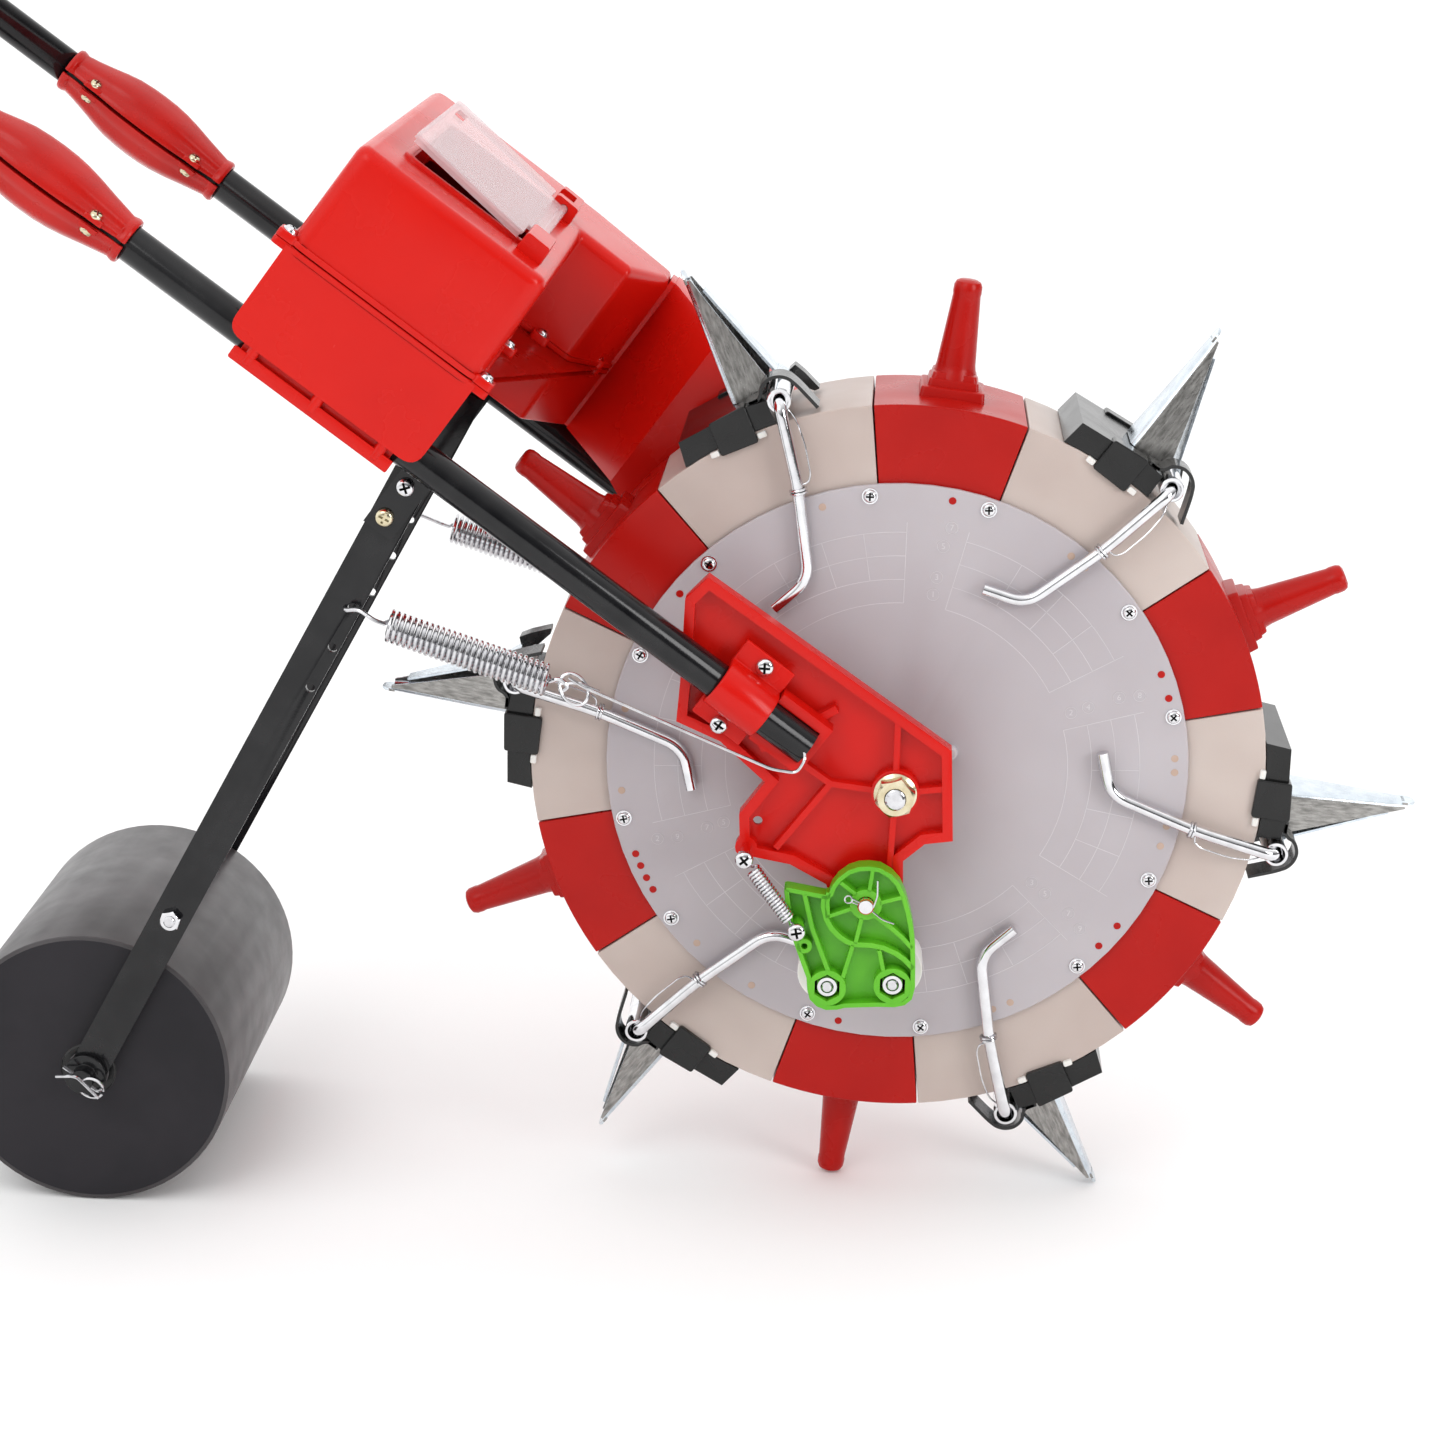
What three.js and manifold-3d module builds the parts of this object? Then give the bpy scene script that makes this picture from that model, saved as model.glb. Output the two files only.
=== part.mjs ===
// Walk-behind garden seed spreader: a rim of alternating red and cream segments with pegs and duckbill beaks,
// a seed hopper on two push tubes, a chute into the wheel's far side, a cam that trips the beaks and a sprung press roller.
// Millimetres, +Z up, +X forward, +Y to the machine's left. Origin: bottom centre of the whole machine, on the ground.
import * as THREE from "three";
import { mergeVertices } from "three/addons/utils/BufferGeometryUtils.js";
import { ConvexGeometry } from "three/addons/geometries/ConvexGeometry.js";
import Module from "manifold-3d";

const wasm = await Module();
wasm.setup();

// ---- driving dimensions -------------------------------------------------
const RIM_R = 185; // outer radius of the segmented rim
const RIM_IN = 128; // inner edge of the segments' side walls
const RIM_HALF = 38.5; // half the rim's width
const WALL = 3; // segment wall
const PHASE = 83.6; // direction of the first red segment, degrees from +X towards +Z
const RED_HALF = 11.94; // half angle of a red segment
const CREAM_HALF = 17.98; // half angle of a cream segment
const SEG_GAP = 0.09; // angular gap left at each joint between segments
const DISC_R = 146.3;
const DISC_T = 3;
const FAR_HOLE_R = 60;
const PEG_TIP = 242.5;
const PEG_TIP_R = 6.4;
const BEAK_TIP = 267.2;
const AXLE_R = 5;
const RUN = 0.3; // gap left between neighbouring pieces
const MID_Y = 12; // the frame's mid-plane, from the wheel's mid-plane
const TUBE_R = 9;
const TUBE_T = -5.24; // tube centre line, measured square to the tubes from the axle
const TUBE_Y = 105; // tube centre, from the frame's mid-plane
const TUBE_PITCH = 35.98; // the tubes' slope, degrees
const HANDLE_S = -1199;
const ROLLER = { x: -409.1, z: -168.6, r: 73.1, y0: -75.4, y1: 99.4 };
const ARM_PIVOT = [-240.5, 146.2];
const ARM_W = 19;
const GROUND = -241.7; // ground below the axle
const CENTRE_X = -360.36; // middle of the machine's length, from the axle

// ---- solids -------------------------------------------------------------
function solid(geometry) {
  let g = geometry.index ? geometry.toNonIndexed() : geometry.clone();
  g.deleteAttribute("normal");
  g.deleteAttribute("uv");
  g = mergeVertices(g, 1e-4);
  return new wasm.Manifold(
    new wasm.Mesh({ numProp: 3, vertProperties: new Float32Array(g.attributes.position.array), triVerts: new Uint32Array(g.index.array) }),
  );
}
const join = (...parts) => parts.reduce((a, b) => a.add(b));
const cut = (a, ...parts) => parts.reduce((s, b) => s.subtract(b), a);
const box = (x0, x1, y0, y1, z0, z1) =>
  solid(new THREE.BoxGeometry(x1 - x0, y1 - y0, z1 - z0).translate((x0 + x1) / 2, (y0 + y1) / 2, (z0 + z1) / 2));
// a cylinder along Y, from y0 to y1 at (x, z); r1 is its radius at y1
const cylY = (x, z, y0, y1, r, n = 24, r1 = r) =>
  solid(new THREE.CylinderGeometry(r1, r, y1 - y0, n).translate(x, (y0 + y1) / 2, z));
const cylX = (y, z, x0, x1, r, n = 24, r1 = r) =>
  solid(new THREE.CylinderGeometry(r1, r, x1 - x0, n).rotateZ(-Math.PI / 2).translate((x0 + x1) / 2, y, z));
const cylZ = (x, y, z0, z1, r, n = 24, r1 = r) =>
  solid(new THREE.CylinderGeometry(r1, r, z1 - z0, n).rotateX(Math.PI / 2).translate(x, y, (z0 + z1) / 2));
function area(p) {
  let a = 0;
  p.forEach(([x, z], i) => {
    const [u, w] = p[(i + 1) % p.length];
    a += x * w - u * z;
  });
  return a / 2;
}
// an outline in X and Z, drawn out along Y
function prism(points, y0, y1) {
  const s = new THREE.Shape(points.map(([x, z]) => new THREE.Vector2(x, z)));
  const g = new THREE.ExtrudeGeometry(s, { depth: y1 - y0, bevelEnabled: false });
  return solid(g.rotateX(Math.PI / 2).translate(0, y1, 0));
}
// an outline in X and Y, drawn out along Z
function prismZ(points, z0, z1) {
  const s = new THREE.Shape(points.map(([x, y]) => new THREE.Vector2(x, y)));
  const g = new THREE.ExtrudeGeometry(s, { depth: z1 - z0, bevelEnabled: false });
  return solid(g.translate(0, 0, z0));
}
const hull = (points) => solid(new ConvexGeometry(points.map((p) => new THREE.Vector3(...p))));
// an outline moved inwards by d
function inset(points, d) {
  const p = area(points) > 0 ? points : [...points].reverse();
  const n = p.length;
  return p.map((c, i) => {
    const a = p[(i + n - 1) % n], b = p[(i + 1) % n];
    const e = (u, v) => { const l = Math.hypot(v[0] - u[0], v[1] - u[1]); return [(v[0] - u[0]) / l, (v[1] - u[1]) / l]; };
    const e1 = e(a, c), e2 = e(c, b);
    const n1 = [-e1[1], e1[0]], n2 = [-e2[1], e2[0]];
    const k = Math.max(1 + n1[0] * n2[0] + n1[1] * n2[1], 0.3);
    return [c[0] + (d * (n1[0] + n2[0])) / k, c[1] + (d * (n1[1] + n2[1])) / k];
  });
}
// a straight rib from p to q
function bar(p, q, w, y0, y1) {
  const l = Math.hypot(q[0] - p[0], q[1] - p[1]);
  const n = [(-(q[1] - p[1]) / l) * (w / 2), ((q[0] - p[0]) / l) * (w / 2)];
  return prism([[p[0] - n[0], p[1] - n[1]], [q[0] - n[0], q[1] - n[1]], [q[0] + n[0], q[1] + n[1]], [p[0] + n[0], p[1] + n[1]]], y0, y1);
}
// a round bar along a line of points
function sweep(points, r, n = 12) {
  const p = points.map((c) => new THREE.Vector3(...c));
  const pos = [], tri = [];
  let up = null;
  p.forEach((c, i) => {
    const a = p[Math.max(i - 1, 0)], b = p[Math.min(i + 1, p.length - 1)];
    const d1 = c.clone().sub(a), d2 = b.clone().sub(c);
    const t = i === 0 ? d2.normalize() : i === p.length - 1 ? d1.normalize() : d1.normalize().add(d2.normalize()).normalize();
    if (!up) up = Math.abs(t.y) < 0.9 ? new THREE.Vector3(0, 1, 0) : new THREE.Vector3(0, 0, 1);
    up = up.clone().sub(t.clone().multiplyScalar(up.dot(t))).normalize();
    const side = new THREE.Vector3().crossVectors(t, up);
    for (let k = 0; k < n; k++) {
      const f = (2 * Math.PI * k) / n;
      const v = c.clone().add(up.clone().multiplyScalar(r * Math.cos(f))).add(side.clone().multiplyScalar(r * Math.sin(f)));
      pos.push(v.x, v.y, v.z);
    }
  });
  for (let i = 0; i + 1 < p.length; i++)
    for (let k = 0; k < n; k++) {
      const a = i * n + k, b = i * n + ((k + 1) % n), c = a + n, d = b + n;
      tri.push(a, d, c, a, b, d);
    }
  for (let k = 1; k + 1 < n; k++) tri.push(0, k + 1, k);
  const o = (p.length - 1) * n;
  for (let k = 1; k + 1 < n; k++) tri.push(o, o + k, o + k + 1);
  const g = new THREE.BufferGeometry();
  g.setAttribute("position", new THREE.Float32BufferAttribute(pos, 3));
  g.setIndex(tri);
  const s = solid(g);
  if (s.volume() < 0) {
    for (let i = 0; i < tri.length; i += 3) [tri[i + 1], tri[i + 2]] = [tri[i + 2], tri[i + 1]];
    g.setIndex(tri);
    return solid(g);
  }
  return s;
}
const rad = (d) => (d * Math.PI) / 180;
const arc = (cx, cz, r, a0, a1, n) =>
  Array.from({ length: n + 1 }, (_, i) => {
    const a = rad(a0 + ((a1 - a0) * i) / n);
    return [cx + r * Math.cos(a), cz + r * Math.sin(a)];
  });

const part = new THREE.Group();
part.name = "garden_spreader";
const machine = new THREE.Group(); // axle at its origin
machine.position.set(-CENTRE_X, -MID_Y, -GROUND);
part.add(machine);
const rails = new THREE.Group(); // X runs along the tubes, Z square to them
rails.rotation.y = rad(TUBE_PITCH);
machine.add(rails);

function put(group, name, shape, color, rough = 0.5, metal = 0) {
  const m = shape.getMesh();
  const v = new Float32Array(m.numVert * 3);
  for (let i = 0; i < m.numVert; i++) v.set(m.vertProperties.subarray(i * m.numProp, i * m.numProp + 3), i * 3);
  const g = new THREE.BufferGeometry();
  g.setAttribute("position", new THREE.BufferAttribute(v, 3));
  g.setIndex(new THREE.BufferAttribute(new Uint32Array(m.triVerts), 1));
  g.computeVertexNormals();
  const mesh = new THREE.Mesh(g, new THREE.MeshStandardMaterial({ color, roughness: rough, metalness: metal, name: name + "_finish" }));
  mesh.name = name;
  group.add(mesh);
  return mesh;
}
const RED = 0xd6180c, SEG_RED = 0xb91612, CREAM = 0xd0c3b4, BLACK = 0x0b0b0c, GALV = 0xb6c2cc, CHROME = 0xd8d8da, GREEN = 0x5fbe1c, MILK = 0xbab2b6;
const far = (y) => 2 * MID_Y - y; // the same place on the frame's other side

// ---- wheel --------------------------------------------------------------
// half angle h: the outer arc and the straight inner edge of a segment, in its own frame (+Z out, +X clockwise)
function segment(h, n, depthFrom, rIn) {
  const outer = arc(0, 0, RIM_R, 90 + h, 90 - h, n);
  const inner = arc(0, 0, RIM_IN, 90 - h, 90 + h, n);
  const shell = prism([...outer, ...inner], -RIM_HALF, RIM_HALF);
  const e = 2.5, h1 = h - (e / 155) * (180 / Math.PI);
  const pocket = prism(
    [...arc(0, 0, RIM_R - WALL, 90 + h1, 90 - h1, n), ...arc(0, 0, RIM_IN - 8, 90 - h1 + 0.3, 90 + h1 - 0.3, 2)],
    -RIM_HALF + WALL, RIM_HALF - WALL,
  );
  return cut(shell, pocket);
}
function station(deg) {
  const g = new THREE.Group();
  g.rotation.y = rad(90 - deg);
  machine.add(g);
  return g;
}
for (let k = 0; k < 6; k++) {
  // red segment with its moulded peg
  const rs = station(PHASE - 60 * k);
  const peg = join(
    segment(RED_HALF - SEG_GAP, 6),
    box(-16.5, 16.5, -16, 16, 183.4, 190),
    box(-13, 13, -12, 12, 187, 196),
    cylZ(0, 0, 195.5, PEG_TIP - 1.5, 10.2, 18, PEG_TIP_R + 0.25),
    cylZ(0, 0, PEG_TIP - 1.6, PEG_TIP, PEG_TIP_R + 0.2, 18, PEG_TIP_R - 1.6),
  );
  put(rs, "rim_red_" + (k + 1), peg, SEG_RED, 0.35);

  const bs = station(PHASE - 30 - 60 * k);
  // cream segment with the seed slot under the beak
  put(bs, "rim_cream_" + (k + 1), cut(segment(CREAM_HALF - SEG_GAP, 9), box(-7, 5, -10, 10, 175, 190)), CREAM, 0.45);

  // black base that saddles the rim, with its hook tabs, seed throat and the two straps over the hinge tube
  const blk = prism([...arc(0, 0, 197, 90 + 11.6, 90 - 2.56, 6), ...arc(0, 0, RIM_R + RUN, 90 - 2.73, 90 + 12.35, 6)], -RIM_HALF, RIM_HALF);
  const tabN = box(-21, -1, -41, -38.8, 180, 196.5);
  const tabF = box(-21, -1, 38.8, 41, 180, 196.5);
  const capN = box(-21, -1, -41, -30, 189, 197.6);
  const capF = box(-21, -1, 30, 41, 189, 197.6);
  const strapLine = [
    [1, 194.5], [1, 198.6], [5.5, 199.6], ...arc(16, 195.6, 9.1, 146, 18, 6), [34.2, 184.2], [33, 182.9],
    [31.2, 184.4], ...arc(16, 195.6, 7.3, 12, 158, 6), [8.6, 194.5],
  ];
  const strapN = prism(strapLine, -38, -22);
  const strapF = prism(strapLine, 22, 38);
  const throat = box(-7.4, 5.4, -10, 10, 170, 210);
  const rib = join(box(-38.2, -30, -RIM_HALF, RIM_HALF, 186, 194.5));
  put(bs, "beak_base_" + (k + 1), cut(join(cut(join(blk, capN, capF), throat), tabN, tabF, strapN, strapF), cylY(0, 0, -60, 60, RIM_R + RUN - 0.02, 120).subtract(box(-300, 300, -60, -38.7, -300, 300)).subtract(box(-300, 300, 38.7, 60, -300, 300))), BLACK, 0.4);

  // galvanised fixed half of the beak: a tapered trough, open forwards and at its foot
  const outer = hull([
    [-9.5, -17, 197.4], [-9.5, 17, 197.4], [8.2, -17, 197.4], [8.2, 17, 197.4],
    [-9.5, -17, 204], [-9.5, 17, 204], [12.4, -16.4, 204.2], [12.4, 16.4, 204.2],
    [-9.5, -6.8, 262.5], [-9.5, 6.8, 262.5], [-6.6, -6.8, 262.5], [-6.6, 6.8, 262.5],
    [-9.5, -3, BEAK_TIP], [-9.5, 3, BEAK_TIP], [-7.9, -3, BEAK_TIP], [-7.9, 3, BEAK_TIP],
  ]);
  const inner = hull([
    [-8.1, -15.6, 196], [-8.1, 15.6, 196], [30, -15.6, 196], [30, 15.6, 196],
    [-8.1, -15.6, 204], [-8.1, 15.6, 204], [30, -15.0, 204.2], [30, 15.0, 204.2],
    [-8.1, -5.2, 263], [-8.1, 5.2, 263], [30, -5.2, 263], [30, 5.2, 263],
  ]);
  put(bs, "beak_shell_" + (k + 1), cut(outer, inner), GALV, 0.35, 0.8);

  // moving half: leaf, hinge tube and the trip rod with its elbow
  const leaf = hull([
    [17.3, -12, 204.2], [17.3, 12, 204.2], [15.6, -12, 203.6], [15.6, 12, 203.6],
    [-1.6, -5, 254.3], [-1.6, 5, 254.3], [-3.2, -5, 253.8], [-3.2, 5, 253.8],
  ]);
  const foot = hull([
    [17.3, -12, 204.2], [17.3, 12, 204.2], [15.6, -12, 203.6], [15.6, 12, 203.6],
    [20.5, -12, 199.2], [20.5, 12, 199.2], [17, -12, 199.2], [17, 12, 199.2],
  ]);
  const knuckle = cut(cylY(16, 195.6, -44, 40, 6, 20), cylY(16, 195.6, 8, 41, 4, 16));
  const eye = cylY(16, 195.6, -49.4, -43.5, 5, 18);
  const rod = sweep([
    [16, -46.5, 195.6], [8.8, -46.5, 153.2], [-2.4, -46.5, 112.6], [-4.4, -46.5, 109.4], [-8, -46.5, 106.9], [-25, -46.5, 100.4],
  ], 3.15, 12);
  put(bs, "beak_flap_" + (k + 1), join(leaf, foot, knuckle, eye, rod), CHROME, 0.15, 1);
}
put(machine, "near_disc", cut(cylY(0, 0, -RIM_HALF - RUN - DISC_T, -RIM_HALF - RUN, DISC_R, 72), cylY(0, 0, -50, -30, 14, 32)), MILK, 0.4);
put(machine, "far_disc", cut(cylY(0, 0, RIM_HALF + RUN, RIM_HALF + RUN + DISC_T, DISC_R, 72), cylY(0, 0, 30, 50, FAR_HOLE_R, 48)), MILK, 0.4);
put(machine, "wheel_hub", cut(join(cylY(0, 0, -55.6, 30, 13.5, 28), cylY(0, 0, -38.5, -35, 30, 32)), cylY(0, 0, -60, 40, AXLE_R + 0.1, 24)), CREAM, 0.4);

// ---- frame --------------------------------------------------------------
put(machine, "axle", join(
  cylY(0, 0, -95, far(-95), AXLE_R, 24),
  cylY(0, 0, -85, -83.3, 10.5, 24), cylY(0, 0, -91, -84.5, 8.9, 6),
  cylY(0, 0, far(-83.3), far(-85), 10.5, 24), cylY(0, 0, far(-84.5), far(-91), 8.9, 6),
), 0xb9a86a, 0.3, 1);

const bracketLine = [
  [-94.2, 106.3], [-105.1, 94.9], [-106.8, 53.5], [-108.4, 33.0], [-86.7, 23.6], [-64.1, 3.4], [-76.5, -13.8], [-75.6, -34.6],
  [-50.7, -38.9], [-32.5, -48.6], [-29, -60], [-20, -70], [-8, -73], [1, -67], [5.8, -53.9], [5.1, -34.9], [15.5, -25.6], [29.2, -23.5], [26.8, 23.0],
];
const camPivot = [-12.4, -54.6];
function bracket(side) {
  const Y = side > 0 ? (y) => y : far;
  const lohi = (a, b) => [Math.min(Y(a), Y(b)), Math.max(Y(a), Y(b))];
  const pr = (pts, a, b) => prism(pts, ...lohi(a, b));
  const cy = (x, z, a, b, r, n) => cylY(x, z, ...lohi(a, b), r, n);
  const ba = (p, q, w, a, b) => bar(p, q, w, ...lohi(a, b));
  let s = join(
    pr(bracketLine, -76, -73),
    cut(pr(bracketLine, -83, -75), pr(inset(bracketLine, 5), -84, -76)),
    cy(0, 0, -83, -56, 12, 28),
    cy(...camPivot, -83, -73, 10, 24),
    ba([0, 0], [0, 37], 3, -82.5, -75), ba([0, 0], [-32, 3.6], 3, -82.5, -75), ba([-32, 3.6], [-50, 16], 3, -82.5, -75),
    ba([-32, 3.6], [-58, -31], 3, -82.5, -75), ba([0, 0], [26.6, 3.4], 3, -82.5, -75), ba([0, 0], [-1.4, -40], 3, -82.5, -75),
    ba([-67, 20], [-30, 42], 4, -82.5, -75),
  );
  s = cut(s, cy(0, 0, -90, -50, AXLE_R + 0.1, 24), cy(-67.5, -19.1, -90, -70, 2.4, 14));
  return s;
}
// socket walls round the tube's lower end, in the rails' frame
function socket(side) {
  const Y = side > 0 ? (y) => y : far;
  const b = (s0, s1, ya, yb, t0, t1) => box(s0, s1, Math.min(Y(ya), Y(yb)), Math.max(Y(ya), Y(yb)), t0, t1);
  return join(b(-75.4, -45.5, -93, -81.5, 4.2, 9.2), b(-75.4, -45.5, -93, -81.5, -19.2, -14.7), b(-49.6, -45.5, -93, -81.5, -19.2, 9.2));
}
const turn = new THREE.Matrix4().makeRotationY(rad(TUBE_PITCH));
function turned(shape) { // a shape in the rails' frame, put in the machine's
  const m = shape.getMesh();
  const v = new Float32Array(m.numVert * 3);
  for (let i = 0; i < m.numVert; i++) v.set(m.vertProperties.subarray(i * m.numProp, i * m.numProp + 3), i * 3);
  const g = new THREE.BufferGeometry();
  g.setAttribute("position", new THREE.BufferAttribute(v, 3));
  g.setIndex(new THREE.BufferAttribute(new Uint32Array(m.triVerts), 1));
  g.applyMatrix4(turn);
  return solid(g);
}
put(machine, "near_bracket", join(bracket(1), turned(socket(1)), cylY(...camPivot, -97, -74, 4, 18), cylY(-72.7, -31, -101, -74, 2.6, 14), cylY(-72.7, -31, -83, -76, 5.5, 16)), RED, 0.35);
put(machine, "far_bracket", join(cut(bracket(-1), cylY(0, 0, 60, 94.7, 20, 24)), turned(socket(-1))), RED, 0.35);

// push tubes with the welded hanger tabs that carry the roller arms
for (const [name, side] of [["tube_near", 1], ["tube_far", -1]]) {
  const Y = side > 0 ? (y) => y : far;
  const cy = Y(MID_Y - TUBE_Y);
  const tab = box(-287.25, -270.75, Math.min(Y(-84.8), Y(-81.8)), Math.max(Y(-84.8), Y(-81.8)), -49, TUBE_T);
  put(rails, name, cut(join(cylX(cy, TUBE_T, -500, -50, TUBE_R, 24), tab), cylX(cy, TUBE_T, -501, -49, TUBE_R - 1.6, 20)), BLACK, 0.25, 0.4);
  // pressed saddle clamping the tube to the bracket
  const b = (s0, s1, ya, yb, t0, t1) => box(s0, s1, Math.min(Y(ya), Y(yb)), Math.max(Y(ya), Y(yb)), t0, t1);
  const saddle = cut(
    join(cylX(cy, TUBE_T, -105, -76, 12.2, 28), b(-105, -76, -93, -83.4, TUBE_T - 12.2, TUBE_T + 12.2), b(-105, -76, -86.4, -83.4, -27, 18.5)),
    cylX(cy, TUBE_T, -106, -75, TUBE_R + RUN, 28), b(-106, -75, -93, -83, TUBE_T - TUBE_R - RUN, TUBE_T + TUBE_R + RUN), b(-106, -75, -83.4, -75, -40, 40),
  );
  put(rails, side > 0 ? "near_saddle" : "far_saddle", saddle, RED, 0.35);
  // two-part clamp that joins the lower tube to the push bar
  const prof = [[9.4, -551], [12.3, -551], [12.3, -548], [11.4, -546], [14.5, -532], [18.4, -517], [18.9, -502], [18.4, -487], [14.5, -470], [11.4, -457], [12.3, -455], [12.3, -452], [9.4, -452]];
  const lathe = new THREE.LatheGeometry([...prof, prof[0]].map(([r, y]) => new THREE.Vector2(r, y)), 20);
  const g = lathe.rotateZ(-Math.PI / 2).translate(0, 0, 0);
  // LatheGeometry turns about Y; after the turn Y runs along X
  let c = solid(g);
  if (c.volume() < 0) throw new Error("coupler profile");
  const m = c.getMesh();
  const v = new Float32Array(m.numVert * 3);
  for (let i = 0; i < m.numVert; i++) v.set(m.vertProperties.subarray(i * m.numProp, i * m.numProp + 3), i * 3);
  const cg = new THREE.BufferGeometry();
  cg.setAttribute("position", new THREE.BufferAttribute(v, 3));
  cg.setIndex(new THREE.BufferAttribute(new Uint32Array(m.triVerts), 1));
  cg.translate(0, cy, TUBE_T);
  c = solid(cg);
  c = cut(c, box(-549, -454, Math.min(Y(-113), Y(-103)), Math.max(Y(-113), Y(-103)), TUBE_T - 1, TUBE_T + 1));
  put(rails, side > 0 ? "near_coupler" : "far_coupler", c, RED, 0.4);
}
// push bar: two legs and the crossbar in one bent tube
{
  const y0 = MID_Y - TUBE_Y, y1 = MID_Y + TUBE_Y, R = 50, p = [[-503, y0, TUBE_T]];
  for (let i = 0; i <= 6; i++) { const a = (i / 6) * (Math.PI / 2); p.push([HANDLE_S + R - R * Math.sin(a), y0 + R - R * Math.cos(a), TUBE_T]); }
  for (let i = 0; i <= 6; i++) { const a = (i / 6) * (Math.PI / 2); p.push([HANDLE_S + R - R * Math.cos(a), y1 - R + R * Math.sin(a), TUBE_T]); }
  p.push([-503, y1, TUBE_T]);
  const bore = p.map(([s, y, t]) => [s, y, t]);
  bore[0][0] = bore[bore.length - 1][0] = -502;
  put(rails, "push_bar", cut(sweep(p, TUBE_R, 20), sweep(bore, TUBE_R - 1.6, 20)), BLACK, 0.25, 0.4);
  put(rails, "handle_grip", cut(
    solid(new THREE.CylinderGeometry(14, 14, 106, 28).translate(HANDLE_S, MID_Y, TUBE_T)),
    solid(new THREE.CylinderGeometry(TUBE_R + RUN, TUBE_R + RUN, 120, 24).translate(HANDLE_S, MID_Y, TUBE_T)),
  ), 0x151515, 0.9);
}

// ---- hopper -------------------------------------------------------------
const plan = [[-391.5, -109], [-283.5, -109], [-283.5, 52], [-252, 52], [-231, 99], [-231, 122], [-283.5, 133], [-391.5, 133]];
const planIn = inset(plan, 2.5);
const exit = (t0, t1) => box(-236, -229, 101.8, 119.4, t0, t1);
put(rails, "hopper_lower", join(
  cut(prismZ(plan, 5, 44.3), prismZ(planIn, 7.5, 50), exit(7.5, 50)),
  box(-391.5, -283.5, -109, -106.5, -6.4, 6), box(-391.5, -283.5, 130.5, 133, -6.4, 6),
  box(-393, -283, -110.6, -108, 41.5, 44.3), box(-394, -391, -110.6, 134.6, 41.5, 44.3), box(-393, -283, 132.2, 134.6, 41.5, 44.3),
  box(-284, -281.6, -110.6, 50, 41.5, 44.3),
  // seed floor bosses that take the base plate's screws
  box(-380, -372, -60, -52, -14.3, 6), box(-380, -372, 76, 84, -14.3, 6), box(-302, -294, -60, -52, -14.3, 6), box(-302, -294, 76, 84, -14.3, 6),
), RED, 0.3);
put(rails, "hopper_upper", join(
  cut(
    join(prismZ(plan, 44.6, 103), box(-374.5, -300.5, -74.5, 63.5, 102, 105)),
    prismZ(planIn, 40, 100.5), exit(40, 100.5), box(-371, -304, -71, 60, 90, 110),
  ),
  box(-393, -283, -110.6, -108, 44.6, 47.4), box(-394, -391, -110.6, 134.6, 44.6, 47.4), box(-393, -283, 132.2, 134.6, 44.6, 47.4),
  box(-284, -281.6, -110.6, 50, 44.6, 47.4),
  cut(join(box(-305, -294, -85, -55, 102, 108), cylY(-299.5, 107.5, -85, -55, 5, 20)), cylY(-299.5, 107.5, -72, -50, 2.6, 16)),
  cut(join(box(-305, -294, 45, 78, 102, 108), cylY(-299.5, 107.5, 45, 78, 5, 20)), cylY(-299.5, 107.5, 40, 62, 2.6, 16)),
), RED, 0.3);
put(rails, "hopper_base", cut(join(box(-384, -292.5, -109, 133, -17, -14.6), box(-384, -292.5, -109, -106.8, -17, -10)), box(-345, -330, -20, 44, -20, -10)), RED, 0.35);
// clear lid, standing slightly open on its hinge
{
  const lid = new THREE.Group();
  lid.position.set(-299.5, 0, 107.5);
  lid.rotation.y = rad(6);
  rails.add(lid);
  const leaf = cut(box(-75.5, -1, -77, 66, -1.0, 1.2), box(-8, 10, -90, -54.4, -5, 5), box(-8, 10, 44.4, 90, -5, 5), box(-71, -66, 25, 45, -5, 5));
  put(lid, "hopper_lid", join(leaf, cylY(0, 0, -68, 58, 2.2, 14), box(-75.5, -73.5, -77, 66, -2.2, 1.2)), 0xe8d8d8, 0.1);
}

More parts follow.
